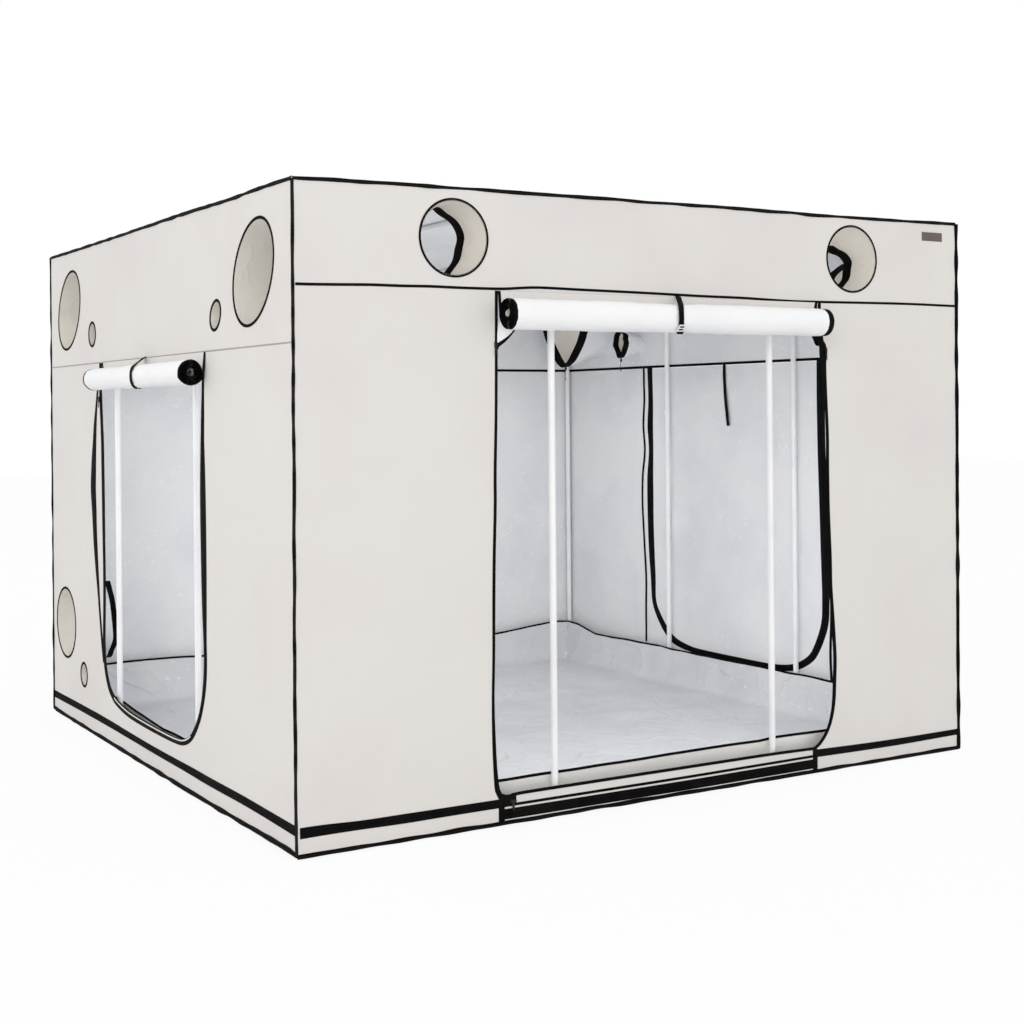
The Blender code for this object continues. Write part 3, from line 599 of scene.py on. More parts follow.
HARD = {
    "pole_paint": ("FBFBFC", "ECECF0", 0.30, 0.0, 0.20, 0.6, 0.004),
    "slider_metal": ("1A1919", "55504C", 0.34, 0.85, 0.006, 0.8, 0.002),
    "buckle_plastic": ("F3F3F3", "DEDEE0", 0.36, 0.0, 0.02, 0.7, 0.003),
    "lock_plastic": ("161515", "2C2A2A", 0.42, 0.0, 0.01, 0.8, 0.002)}
pole_paint, slider_metal, buckle_plastic, lock_plastic = [
    hard_material(name, *values) for name, values in HARD.items()]
BY_KIND = {"post": pole_paint, "rail": pole_paint, "bar": pole_paint, "slider": slider_metal,
           "buckle": buckle_plastic}
painted = 0
for name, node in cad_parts.items():
    finish = BY_KIND.get(name.split("_")[-1])
    if finish:
        node.data.materials.clear()
        node.data.materials.append(finish)
        painted += 1
print("hard pieces painted:", painted)

# %% [markdown]
# ## Edge lines
# The door openings aren't straight: zipped cloth bows between its corners. Their lines are
# (across, high) points with the width of the black zip tape there, and are shared by walls,
# zips and panels. On the left door, towards the front, the width also takes in the shade
# beside the zip. There the black band is partly zip tape and partly painted shade.

# %% Edge lines
front_edge = smooth_line(
    [(-.738, 1.851, .012), (-.743, 1.449, .011), (-.749, 1.229, .012), (-.750, 1.103, .012),
     (-.756, .921, .012), (-.759, .759, .012), (-.761, .596, .011), (-.765, .432, .011),
     (-.763, .300, .014), (-.758, .190, .016), (-.751, .125, .020), (-.740, .103, .022),
     (-.715, .096, .016), (-.690, .098, .012),
     (-.660, .103, .011), (-.334, .103, .011), (.090, .102, .011), (.466, .101, .011),
     (.655, .098, .011), (.700, .100, .012), (.741, .133, .013), (.774, .185, .014),
     (.794, .260, .016), (.800, .346, .017), (.804, .440, .016), (.799, .535, .016),
     (.792, .634, .016), (.785, .733, .015), (.783, .850, .015), (.776, 1.030, .014),
     (.774, 1.200, .014), (.774, 1.330, .014), (.768, 1.470, .014), (.760, 1.570, .022),
     (.756, 1.620, .030), (.755, 1.645, .036), (.755, 1.664, .037), (.753, 1.680, .035),
     (.744, 1.698, .027), (.740, 1.722, .028), (.739, 1.760, .020), (.738, 1.851, .012)])
# Towards the front, the widths take in the shade beside the zip as well: partly zip tape, partly
# painted shade.
left_edge = smooth_line(
    [(-.664, 1.660, .034), (-.668, 1.580, .034), (-.667, 1.500, .035), (-.655, 1.400, .034),
     (-.646, 1.297, .037), (-.644, 1.210, .037), (-.640, 1.034, .036), (-.637, .850, .032),
     (-.634, .740, .032), (-.637, .596, .032), (-.643, .507, .032), (-.645, .417, .034),
     (-.630, .330, .034), (-.585, .258, .032), (-.535, .222, .030), (-.470, .199, .030),
     (-.339, .180, .030), (-.200, .172, .028), (.061, .169, .026), (.306, .172, .024),
     (.410, .184, .024), (.486, .213, .024), (.540, .256, .026), (.594, .320, .028),
     (.636, .414, .033), (.652, .509, .034), (.650, .600, .034), (.647, .692, .046),
     (.645, .784, .054), (.644, .900, .060), (.641, 1.059, .062), (.640, 1.160, .058),
     (.640, 1.243, .050), (.640, 1.335, .038), (.645, 1.428, .034), (.650, 1.519, .026),
     (.655, 1.660, .024)])
left_flap = smooth_line(
    [(-.690, 1.600, .020), (-.731, 1.474, .026), (-.756, 1.385, .042), (-.770, 1.296, .054),
     (-.782, 1.206, .068), (-.787, 1.116, .074), (-.779, 1.028, .068), (-.773, .939, .058),
     (-.764, .850, .055), (-.750, .762, .046), (-.731, .675, .034), (-.710, .588, .025),
     (-.690, .502, .024), (-.671, .420, .024), (-.650, .345, .020)])
right_edge = smooth_line(
    [(-.660, 1.662, .050), (-.661, 1.470, .054), (-.664, 1.240, .054), (-.672, 1.000, .054),
     (-.679, .780, .054), (-.683, .640, .052), (-.684, .541, .050), (-.674, .423, .048),
     (-.615, .300, .042), (-.560, .245, .036), (-.468, .202, .032), (-.361, .184, .030),
     (-.250, .179, .028), (0.0, .178, .028), (.223, .179, .028), (.349, .184, .030),
     (.478, .208, .038), (.545, .247, .042), (.612, .313, .040), (.664, .400, .036),
     (.673, .533, .044), (.684, .668, .050), (.690, .803, .053), (.692, .950, .056),
     (.692, 1.075, .052), (.682, 1.211, .040), (.688, 1.347, .050), (.682, 1.483, .042),
     (.688, 1.662, .045)])


def circle(at, high, radius, steps=48, lean=0.0):
    """A round outline. A lean moves its top to the right by a share of its height."""
    turns = np.arange(steps) * 2 * math.pi / steps
    lift = radius * np.cos(turns)
    return np.stack([at + radius * np.sin(turns) + lean * lift, high + lift], 1)


def moved_in(line, width):
    """The line moved towards the middle of its opening."""
    along = normed(np.gradient(line[:, :2], axis=0))
    return line[:, :2] + np.stack([-along[:, 1], along[:, 0]], 1) * width


print("front opening", [round(v, 3) for v in (*front_edge.min(0), *front_edge.max(0))])

# %% [markdown]
# ## Ports
# Each port is a round hole with a sleeve. A kind of port gives the radius of its hole, the
# length of its sleeve, the shares that shape its hanging mouth, and the width of the black
# hem. The shares are the mouth's width, its reach up and down, how far it sags, and how pointed
# it is at its foot and at its top. Where the wall is pulled askew, a port leans.

# %% Port list
SEWN_IN = .006      # the cloth is cut and sewn this far inside a port's rim
BIG_FRONT = (.134, .160, (.90, .93, 1.06, .04, .60, 2.2), .046)
SLACK_FRONT = (.134, .160, (.90, .55, .84, .15, .35, 2.0), .044)
BIG_SIDE = (.182, .266, (1.35, .86, 1.26, .08, .60, 1.0), .054)
BIG_FAR = (.182, .266, (1.30, .86, 1.00, .08, .60, 1.0), .050)
LOW_SIDE = (.165, .220, (1.05, .86, 1.16, .08, .50, 1.0), .040)
CABLE = (.055, .138, (1.10, 1.25, 1.36, .02, .60, 1.0), .036)
SLIM_LOW = (.165, .205, (1.08, 1.57, .67, .45, .60, 1.9), .027)
SHORT_CABLE = (.055, .075, (1.05, .90, 1.20, .02, .50, 1.0), .024)
LEANS = {("left", "near_duct"): .28, ("left", "far_duct"): .28, ("left", "near_cable"): .24}
PORTS = {"front": {"left_duct": (-.903, 2.026, BIG_FRONT),
                   "right_duct": (.911, 2.030, SLACK_FRONT)}}
HANDED = {"near_duct": (1.155, 1.914, BIG_SIDE), "far_duct": (-1.167, 1.920, BIG_FAR),
          "low_duct": (-1.263, .452, LOW_SIDE), "near_cable": (.788, 1.788, CABLE),
          "far_cable": (-.789, 1.792, CABLE), "low_cable": (-.966, .246, SHORT_CABLE)}
PORTS["right"] = HANDED
PORTS["left"] = {**HANDED, "low_duct": (-1.263, .452, SLIM_LOW)}
print("ports:", sum(len(each) for each in PORTS.values()))

# %% [markdown]
# ## The cover
# Six sheets of canvas with the bright lining on their inner face. Each is cut with its holes
# and gets a little unevenness that fades out where it is sewn, so that its edges stay straight
# enough for the bindings.

# %% Walls, roof and floor
def slack(depth, seed, wave, reach=0.16):
    """Unevenness of a sheet that is held at its edges."""
    def shape(a, b, away):
        held = np.clip(away / reach, 0, 1)
        held = held * held * (3 - 2 * held)
        fine = ripple(a, b, seed + 50, wave * 0.35)
        return depth * held * (ripple(a, b, seed, wave) + 0.35 * fine)
    return shape


def no_ripple(a, b, away):
    return 0 * a


def roof_shape(a, b, away):
    """The roof lies on its tubes and sags a little between them."""
    held = np.clip(away / 0.16, 0, 1)
    between = np.sin(np.clip(np.abs(a) / 0.5, 0, 1) * math.pi) * 0.5
    return 0.004 * held - 0.004 * held * (0.5 + between) + 0.0015 * held * ripple(a, b, 8, 0.5)


WALL = [(-1.494, .010), (1.494, .010), (1.494, 2.1935), (-1.494, 2.1935)]
FLAT = [(-1.491, -1.491), (1.491, -1.491), (1.491, 1.491), (-1.491, 1.491)]
ROOF_SINK = .0058   # the roof sheet lies this far below the top of the piping
for side, outline, openings, out, shape in (
        ("front", WALL, [front_edge], FACE, slack(.0013, 3, .7)),
        ("right", WALL, [right_edge], FACE, slack(.0020, 4, .6)),
        ("back", WALL, [], FACE, slack(.0028, 5, .6)),
        ("left", WALL, [left_edge], FACE, slack(.0015, 6, .7)),
        ("roof", FLAT, [], TALL - ROOF_SINK, roof_shape),
        ("floor", FLAT, [], -.0002, no_ripple)):
    holes = [line[:, :2] for line in openings]
    holes += [circle(at, high, kind[0] - SEWN_IN, lean=LEANS.get((side, name), 0.0))
              for name, (at, high, kind) in PORTS.get(side, {}).items()]
    if outline is WALL:
        wall_shapes[side] = shape, [spread(np.array(line), CELL) for line in [outline] + holes]
    node = {"roof": "roof_panel", "floor": "floor_sheet"}.get(side, side + "_wall")
    piece, size, area = cut_sheet(side + "_cover", side, outline, holes, out, shape,
                                  (canvas, lining))
    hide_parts(node)

# %% [markdown]
# ## The right door
# It is zipped shut, so it fills its opening. It rides on its own body and swings at its top.

# %% Right door
DOOR_GAP, DOOR_TOP = .0118, 1.6545      # inside the zip's middle line, and below the seam
door_line = moved_in(right_edge, DOOR_GAP)
door_line[:, 1] = np.minimum(door_line[:, 1], DOOR_TOP)
piece, size, area = cut_sheet("right_door_panel", "right", door_line, [], FACE,
                              slack(.006, 9, .55), (canvas, lining), body="right_door")
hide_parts("right_door")

# %% [markdown]
# ## Bound edges
# All twelve edges carry a black piping, and flat webbing runs round the foot of the walls. Sewn
# piping wanders by about a millimetre, and its thickness is uneven.

# %% Piping and webbing
def bar(width):
    """A squarish rounded section about its own middle."""
    half, cut = width / 2, width * .29
    return [(-half, -cut), (-cut, -half), (cut, -half), (half, -cut),
            (half, cut), (cut, half), (-cut, half), (-half, cut)]


WANDER = .0008      # how far the piping strays from its line


def piping(name, points, width, seed):
    line = smooth_line(points, .02)
    share = np.linspace(0, 1, len(line))[:, None]
    way = (line[-1] - line[0]) / np.linalg.norm(line[-1] - line[0])
    one = np.cross(way, (.3, .5, .8))
    one /= np.linalg.norm(one)
    two = np.cross(way, one)
    held = np.sin(share * math.pi) ** .3
    path = line + held * WANDER * (one * ripple(share, share * 0, seed, .12)
                                   + two * ripple(share, share * 0, seed + 1, .08))
    thick = 1 + .10 * ripple(share[:, 0], 0 * share[:, 0], seed + 2, .05)
    section = np.array(bar(width))[None] * thick[:, None, None]
    return sweep(name, path, np.tile(one, (len(line), 1)), section, [binding], slot="black_trim")


far, low = 1.4925, .0075    # middle line of the piping, from the tent's middle and the ground
TOP_BOW = {
    "front": [(-far, 2.189), (-1.337, 2.192), (-1.043, 2.1945), (-.401, 2.196), (.328, 2.197),
              (.731, 2.1945), (1.162, 2.197), (far, 2.200)],
    "right": [(-far, 2.200), (0, 2.196), (far, 2.195)],
    "back": [(-far, 2.195), (0, 2.196), (far, 2.194)],
    "left": [(-far, 2.194), (-.891, 2.191), (-.151, 2.190), (.466, 2.190), (.760, 2.187),
             (.980, 2.187), (1.222, 2.190), (far, 2.189)]}
FOOT_BOW = {side: [(-far, low), (far, low)] for side in ("front", "right", "back")}
FOOT_BOW["left"] = [(-far, .0125), (-1.2, .0085), (.3, .0075), (.9, .010), (1.2, .0135),
                    (1.4, .0155), (far, .011)]
LEAN = {"front": [(.0, -.006), (1.1, 0), (2.2, .005)], "right": [(0, 0), (2.2, 0)],
        "back": [(0, 0), (2.2, 0)],
        "left": [(.0, .004), (.3, .005), (.8, .005), (1.2, .002), (1.6, .001), (2.2, 0)]}
WIDTHS = {"front": (.015, .0135, .018), "right": (.015, .0135, .014),
          "back": (.015, .0135, .017), "left": (.018, .0145, .011)}
for k, side in enumerate(("front", "right", "back", "left")):
    foot, bow, lean = [np.array(each[side]) for each in (FOOT_BOW, TOP_BOW, LEAN)]
    heights = np.linspace(foot[-1, 1], bow[-1, 1], 12)
    leaning = far + np.interp(heights, lean[:, 0], lean[:, 1])
    runs = {"foot": on_side(side, foot[:, 0], foot[:, 1], far),
            "top": on_side(side, bow[:, 0], bow[:, 1], far),
            "upright": on_side(side, leaning if side == "front" else far, heights,
                               far if side == "front" else leaning)}
    for number, (name, points) in enumerate(runs.items()):
        piping(f"{side}_{name}_piping", points, WIDTHS[side][number],
                            20 + 9 * k + 3 * number)
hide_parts("edge_piping")


def line_of(points):
    return smooth_line(points, .04)


FOOT_BANDS = {
    "front": [[(-1.486, .0825, .036), (-1.414, .0825, .035), (-1.271, .0795, .030),
               (-1.125, .078, .032), (-.974, .0775, .031), (-.742, .077, .030)],
              [(.700, .077, .030), (.933, .073, .028), (1.152, .0715, .027), (1.486, .074, .024)]],
    "right": [[(-1.486, .074, .026), (-.500, .080, .030), (.500, .079, .030),
               (1.486, .080, .031)]],
    "back": [[(-1.486, .080, .031), (0, .079, .030), (1.486, .0815, .033)]],
    "left": [[(-1.486, .0815, .033), (-1.041, .086, .032), (-.716, .088, .032),
              (-.006, .0865, .027), (.589, .088, .032), (1.000, .092, .032),
              (1.276, .091, .032), (1.486, .089, .034)]]}
for side, runs in FOOT_BANDS.items():
    for k, run in enumerate(runs):
        tape(f"{side}_band_{k}", side, line_of(run), None, .0016)
for k, at in enumerate((-.7345, .6950)):
    tape(f"sill_end_{k}", "front", line_of([(at, .010), (at, .094)]), .024, .0022)
tape("sill_zip_end", "front", line_of([(-.742, .086), (-.676, .086)]), .034, .0018)
for name, level, width in (("line", .0665, .010), ("band", .0365, .036)):
    path = line_of([(-.722, level + .001), (-.30, level), (.10, level - .001), (.40, level),
                    (.683, level + .001)])
    tape("sill_" + name, "front", path, width, .0014)
FRONT_SEAM = line_of(
    [(-1.486, 1.8495), (-1.433, 1.850), (-1.327, 1.8525), (-1.219, 1.8555), (-1.108, 1.8555),
     (-.995, 1.8575), (-.879, 1.8565), (-.721, 1.858), (-.640, 1.8635), (-.558, 1.8675),
     (-.389, 1.8655), (-.127, 1.863), (.149, 1.859), (.341, 1.858), (.539, 1.8535), (.692, 1.853),
     (1.177, 1.8585), (1.486, 1.857)])
seam = tape("front_seam_tape", "front", FRONT_SEAM, .0095, .0012)
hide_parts("front_seam")
for side in ("left", "right", "back"):
    for name, level, width, thick, out, *finish in (
            ("stitch", 1.662, .006, .0009, FACE, thread_grey, "canvas"),
            ("inside", 1.663, .012, -.0014, FACE - CLOTH)):
        tape(f"{side}_{name}_seam", side, line_of([(-1.486, level), (1.486, level)]), width,
             thick, out, *finish)

# %% [markdown]
# ## Zips
# A zip tape straddles the edge of each opening, and its coil runs along the middle.

# %% Zip tapes
def zip_along(name, side, line, node):
    """Tape and coil on both faces of the canvas. The line's third number is the tape's width. On
    the left door, towards the front, this width also covers the shade beside the zip as painted
    shade.
    """
    sections = []
    for width in line[:, 2]:
        half = width / 2
        coil = min(.0035, half * .6)
        face = [(-half, .0008), (-coil, .0010), (-coil * .8, .0022), (coil * .8, .0022),
                (coil, .0010), (half, .0008)]
        sections.append(face + [(aside, -CLOTH - lift) for aside, lift in reversed(face)])
    path = on_side(side, line[:, 0], line[:, 1], FACE)
    piece = sweep(name, path, outward(side, len(line)), sections, [zip_tape], slot="black_trim")
    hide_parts(node)


for side, line in (("front", front_edge), ("left", left_edge), ("right", right_edge)):
    zip_along(side + "_zip_tape", side, line, side + "_zip")

# %% [markdown]
# ## The corner flap
# At the front door's upper left corner a small bound flap of film covers the end of the zip, and
# a short strip of webbing closes the upper right corner.

# %% Corner flap
flap_edge = smooth_line([(-.664, 1.722, .006), (-.676, 1.706, .006), (-.692, 1.691, .008),
                         (-.708, 1.679, .011), (-.722, 1.670, .013), (-.734, 1.662, .014),
                         (-.741, 1.648, .012)], .008)
outline = [(-.732, 1.745), (-.672, 1.745)] + [tuple(point) for point in flap_edge[:, :2]]
FLAP_OUT = FACE + .0016     # the flap lies over the zip
# The flap takes the brighter copy of the film: painted light where the front roll shades it.
piece, size, area = cut_sheet("front_corner_flap", "front", outline, [], FLAP_OUT, no_ripple,
                              (roll_film_painted_lit, lining), cell=.012, thick=.0008)
tape("front_right_gusset", "front",
     smooth_line([(.699, 1.738, .006), (.712, 1.731, .008), (.728, 1.724, .010),
                  (.742, 1.716, .012)], .01),
     None, .0012, FACE + .0006)
tape("front_corner_flap_edge", "front", flap_edge, None, .0012, FLAP_OUT)

# %% [markdown]
# ## Loose edges of the side doors
# Beside each zip runs the bound edge of a loose flap. Along the foot of the left door, which is
# rolled up, a light gap shows between the two halves of the zip.

# %% Flap edges
low_part = (left_edge[:, 1] < .235) & (np.abs(left_edge[:, 0]) < .50)
tape("left_zip_gap", "left", moved_in(left_edge, .0065)[low_part], .0055, .0009, FACE + .0020,
     canvas, "canvas")
tape("left_flap_binding", "left", left_flap, None, .0016, FACE + .0004)
for name, points in (
        ("rear", [(.742, 1.660), (.741, 1.55), (.739, 1.483), (.750, 1.347), (.739, 1.211),
                  (.762, 1.075), (.766, .939), (.757, .803), (.747, .668), (.736, .533),
                  (.738, .397), (.740, .261), (.740, .175)]),
        ("front", [(-.706, 1.660), (-.709, 1.3), (-.706, 1.0), (-.716, .75), (-.722, .5),
                   (-.715, .31), (-.719, .160)])):
    tape("right_flap_" + name, "right", line_of(points), .015, -.0016, FACE - CLOTH)

# %% [markdown]
# ## Sleeves
# A sleeve starts as a round tube at its rim and hangs as a drop at its mouth. Pleats grow
# towards the mouth, where a drawcord gathers the hem.

# %% Sleeves
def drop(angle, share, kind, lean=0.0):
    """Place of a point of a sleeve: its angle round the port and its share of the length."""
    radius, _, shares, _ = kind
    wide, rise, fall, sag = [each * radius for each in shares[:4]]
    pinch, peak = shares[4:]
    skin = radius - SEWN_IN
    droop = share * share * (3 - 2 * share)
    pleats = sum(np.sin(n * angle + n) for n in (4, 7, 11)) * share * radius * .009
    aside, lift = np.sin(angle), np.cos(angle)
    narrow = np.abs(np.cos(angle / 2)) ** pinch
    narrow = narrow * np.where(lift > 0, np.abs(aside) ** (peak - 1), 1.0)
    tip = np.where(lift > 0, rise, fall)
    a = (skin * (1 - droop) + wide * narrow * droop + pleats) * aside
    b = (skin * (1 - droop) + tip * droop + pleats) * lift - sag * droop
    return a + lean * skin * (1 - droop) * lift, b


HEM_ROWS = 5


def build_sleeve(side, name, at, high, kind):
    """A sleeve that hangs inward from its port, and the bound rim round the port."""
    radius, length, _, hem = kind
    lean = LEANS.get((side, name), 0.0)
    steps = 72 if radius > .1 else 40       # points round a wide or a narrow port
    angle = np.arange(steps) * 2 * math.pi / steps
    shares_down = np.concatenate([np.linspace(0, 1 - hem / length, 9),
                                  np.linspace(1 - hem / length, 1, HEM_ROWS + 1)[1:]])
    rows = []
    for share in shares_down:
        a, b = drop(angle, share, kind, lean)
        sunk = .004 * share * ripple(np.sin(angle), np.cos(angle), 70, .9)
        rows.append(on_side(side, at + a, high + b, FACE - .0004 - share * length - sunk))
    hemmed = np.zeros((len(rows) - 1, steps), bool)
    hemmed[-HEM_ROWS:] = True
    piece = cloth_grid(f"{side}_{name}_cloth", rows, .0016, [lining, sleeve_cloth, webbing],
                       around=True, trim=hemmed, slot="sleeve_canvas")
    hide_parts(f"{side}_{name}_sleeve")
    ring = circle(at, high, radius - .002, steps, lean)
    rim = sweep(f"{side}_{name}_rim", on_side(side, ring[:, 0], ring[:, 1], FACE - .0002),
                outward(side, steps), strap_section(.007 if side == "front" else .011, .0024),
                [binding], closed=True, slot="black_trim")


for side, each in PORTS.items():
    for name, place in each.items():
        build_sleeve(side, name, *place)
    print("sleeves on the", side, "wall:", len(each))

# %% [markdown]
# ## Rolled doors
# Each roll is one unbroken sheet: it hangs from its seam, runs down behind the roll and winds
# inward with even gaps. Its edges are bound in black, so the ends show black spirals. The
# winding presses outward a little more in some places than in others, and the strap squeezes
# the front roll.

# %% Rolled doors
CORE = .012         # radius of the hollow in the middle of a roll
STEPS = 26          # steps round one turn
UNBOUND = 15        # steps at the core where the binding is hidden and left off
ROLLS = {"front": dict(hinge=(1.4978, 1.8502), centre=(1.5618, 1.7692), radius=.056, cloth=1.770,
                       ends=(-.733, .707), hem=(.011, .026), flare=(0, .031, .018),
                       strap=(.042, -.62)),
         "left": dict(hinge=(1.49705, 1.660), centre=(1.552, 1.586), radius=.048, cloth=1.480,
                      ends=(-.575, .683), hem=(.016, .016), flare=(-.060, 0, 0),
                      strap=(-.030, 1.35))}


def touching(point, centre, radius, sense):
    """Angle on a circle where a line from a point outside touches it."""
    x, y = point[0] - centre[0], point[1] - centre[1]
    return math.atan2(y, x) + sense * math.acos(radius / math.hypot(x, y))


def build_roll(side, seed, squeeze):
    """A rolled door: three rows down from the seam, then one row for each step of the winding.
    The strap squeezes it where it passes."""
    facts = ROLLS[side]
    hinge, centre, radius = facts["hinge"], facts["centre"], facts["radius"]
    (start, end), (at, lean) = facts["ends"], facts["strap"]
    black_start, black_end = start + facts["hem"][0], end - facts["hem"][1]
    pitch = math.pi * (radius ** 2 - CORE ** 2) / facts["cloth"]
    first = touching(hinge, centre, radius, 1)
    turns = np.arange(0, (radius - CORE) / pitch, 1 / STEPS)
    touch = [centre[k] + radius * (math.cos(first), math.sin(first))[k] for k in (0, 1)]
    across = np.unique(np.concatenate([np.linspace(start, end, 60), [black_start, black_end],
                                       [start + .004, end - .004]]))
    rows = []
    for share in (0, .35, .7):
        x, y = [hinge[k] + (touch[k] - hinge[k]) * share for k in (0, 1)]
        bulge = .002 * share * ripple(across, 0 * across, seed, .2)
        wider = [value * (1 - share) for value in facts["flare"]]
        hung = np.interp(across, [start, black_start, black_end, end],
                         [start + wider[0], black_start + wider[0], black_end + wider[1],
                          end + wider[2]])
        rows.append(on_side(side, hung, y, x + bulge))
    for turn in turns:
        angle = first + 2 * math.pi * turn
        swell = .0012 * ripple(across, 0 * across + math.cos(angle) * .05, seed, .30)
        swell = swell + .0009 * ripple(across, 0 * across + math.sin(angle) * .05, seed + 1, .09)
        if turn < 1:
            fade = math.sin(math.pi * turn) ** 2
            crease = ripple(across * .5 + .2 * angle, 0 * across + angle * .05, seed + 2, .07)
            swell = swell + fade * .0016 * np.clip(crease, 0, 3)
        waist = at + lean * (centre[0] + radius * math.cos(angle) - hinge[0])
        swell = swell - squeeze * np.exp(-((across - waist) / .035) ** 2)
        shift = .0025 * math.sin(turn * 5.1) + .0015 * math.sin(turn * 11.7)
        r = (radius - pitch * turn) + swell * (1 - .6 * turn / turns[-1])
        rows.append(on_side(side, across + shift, centre[1] + r * math.sin(angle),
                            centre[0] + r * math.cos(angle)))
    middle = (across[1:] + across[:-1]) / 2
    edge = np.tile((middle < black_start) | (middle > black_end), (len(rows) - 1, 1))
    edge[-UNBOUND:] = False
    # The rolls show the brighter copy of the film: painted light.
    piece = cloth_grid(side + "_rolled_door", rows, .0013, [roll_film_painted_lit, canvas, webbing], trim=edge,
                       body=side + "_roll", slot="lining")
    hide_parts(side + "_door_roll")


STRAP_GAP = .0022   # from the cloth to the middle of the strap


def build_roll_strap(side, width=.022):
    """Webbing round a rolled door, from its hinge round the roll and back up behind it. It is
    sewn on at a slant, so it leans to one side as it goes out round the roll."""
    facts = ROLLS[side]
    at, lean = facts["strap"]
    hinge, centre, radius = facts["hinge"], facts["centre"], facts["radius"] + STRAP_GAP
    pitch = math.pi * ((radius - STRAP_GAP) ** 2 - CORE ** 2) / facts["cloth"]
    sewn = (hinge[0] + STRAP_GAP, hinge[1] + .004)
    inner = (hinge[0] - .0016, hinge[1] - .002)
    start = touching(inner, centre, radius, 1)
    end = touching(sewn, centre, radius, -1) + 2 * math.pi
    line = [inner]
    for angle in np.linspace(start, end, 44):
        r = radius - pitch * max(angle - start, 0) / (2 * math.pi)
        line.append((centre[0] + r * math.cos(angle), centre[1] + r * math.sin(angle)))
    line.append(sewn)
    line = np.array(line)
    path = on_side(side, at + 0 * line[:, 0], line[:, 1], line[:, 0])
    across = np.array(SIDES[side][0], float)
    normals = np.cross(across, np.gradient(path, axis=0))
    slanted = path + (line[:, :1] - hinge[0]) * lean * across
    piece = sweep(side + "_strap", slanted, normals, strap_section(width, .0016), [webbing],
                  body=side + "_roll", slot="black_trim")
    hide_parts(side + "_roll_strap")


build_roll("front", 80, .0035)
build_roll("left", 84, .0015)
build_roll_strap("front")
build_roll_strap("left")
hang = smooth_line([(1.664, .046, 0), (1.60, .045, .002), (1.50, .036, .004), (1.40, .024, .003),
                    (1.349, .018, .001)], .02)
path = on_side("right", hang[:, 1], hang[:, 0], FACE - .0045 - hang[:, 2])
piece = sweep("hanging_strap", path, outward("right", len(path)), strap_section(.022, .0014),
              [webbing], slot="black_trim")
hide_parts("right_door_strap")

# %% [markdown]
# ## The spill tray
# The tray is one sheet of film that lies on the floor and turns up along the walls in a soft
# curve. Its rim is bound in black and hangs between the posts in shallow waves.

# %% Spill tray
REACH = 1.4515      # half the width of the tray's floor
RIM_HEIGHTS = [
    (-1, -1, .152), (-.49, -1, .1455), (-.26, -1, .146), (.11, -1, .149), (.31, -1, .148),
    (.36, -1, .153), (.55, -1, .150), (1, -1, .168), (1, -.50, .181), (1, .146, .174),
    (1, .294, .172), (1, .385, .177), (1, .81, .167), (1, .93, .203), (1, 1, .207),
    (.937, 1, .216), (.66, 1, .174), (0, 1, .178), (-.61, 1, .206), (-.71, 1, .209),
    (-.82, 1, .2075), (-1, 1, .204), (-1, .455, .190), (-1, .323, .186), (-1, .242, .1785),
    (-1, .102, .167), (-1, -.03, .163), (-1, -.157, .167), (-1, -.80, .160)]


def round_square(x, y):
    """How far round a square's edge the direction of a point lies, from 0 to 8."""
    size = np.maximum(np.maximum(np.abs(x), np.abs(y)), 1e-9)
    a, b = x / size, y / size
    return np.select([b <= -1 + 1e-9, a >= 1 - 1e-9, b >= 1 - 1e-9],
                     [a + 1, b + 3, 5 - a], 7 - b)


def rim_height(x, y):
    """Height of the tray's rim, which sags between the places where it is held up."""
    known = np.array(RIM_HEIGHTS)
    waves = .0010 * ripple(x + y, x - y, 90, .35)
    return np.interp(round_square(x, y), round_square(known[:, 0], known[:, 1]), known[:, 2],
                     period=8) + waves


def tray_film_points(spots):
    """The film's points over a net: folds on the floor, and the edge turned up in a curve."""
    x, y = np.meshgrid(spots, spots)
    edge = REACH - np.maximum(np.abs(x), np.abs(y))
    front = np.clip((-y - np.abs(x)) / .10, 0, 1)
    share = np.clip(edge / (.090 - .062 * front), 0, 1)
    rise = (1 - share) ** (2.6 - 1.2 * front)
    around = np.where(np.abs(x) > np.abs(y), y, x)
    pleat = ripple(around, 0 * around, 91, .16) * .5 + .5
    pull = .014 * (1 - front) * pleat * np.clip(edge / .01, 0, 1) * (1 - share)
    x_in = x - np.sign(x) * pull * (np.abs(x) >= np.abs(y))
    y_in = y - np.sign(y) * pull * (np.abs(y) > np.abs(x))
    held = np.clip(edge / .25, 0, 1)
    long_fold = np.clip(ripple(x * .35 + y, .35 * y - .2 * x, 92, .5), 0, 3) ** 2
    floor = .0085 + held * (.0028 * ripple(x, y, 93, .45) + .0030 * long_fold)
    z = floor + (rim_height(x, y) - floor) * rise
    return np.stack([x_in, y_in, np.maximum(z, .0065)], -1)


near_edge = REACH - np.array([0, .002, .005, .010, .018, .030, .045, .062, .085])
count = round(2 * near_edge[-1] / .032)
spots = np.concatenate([-near_edge, np.linspace(-near_edge[-1], near_edge[-1], count)[1:-1],
                        near_edge[::-1]])
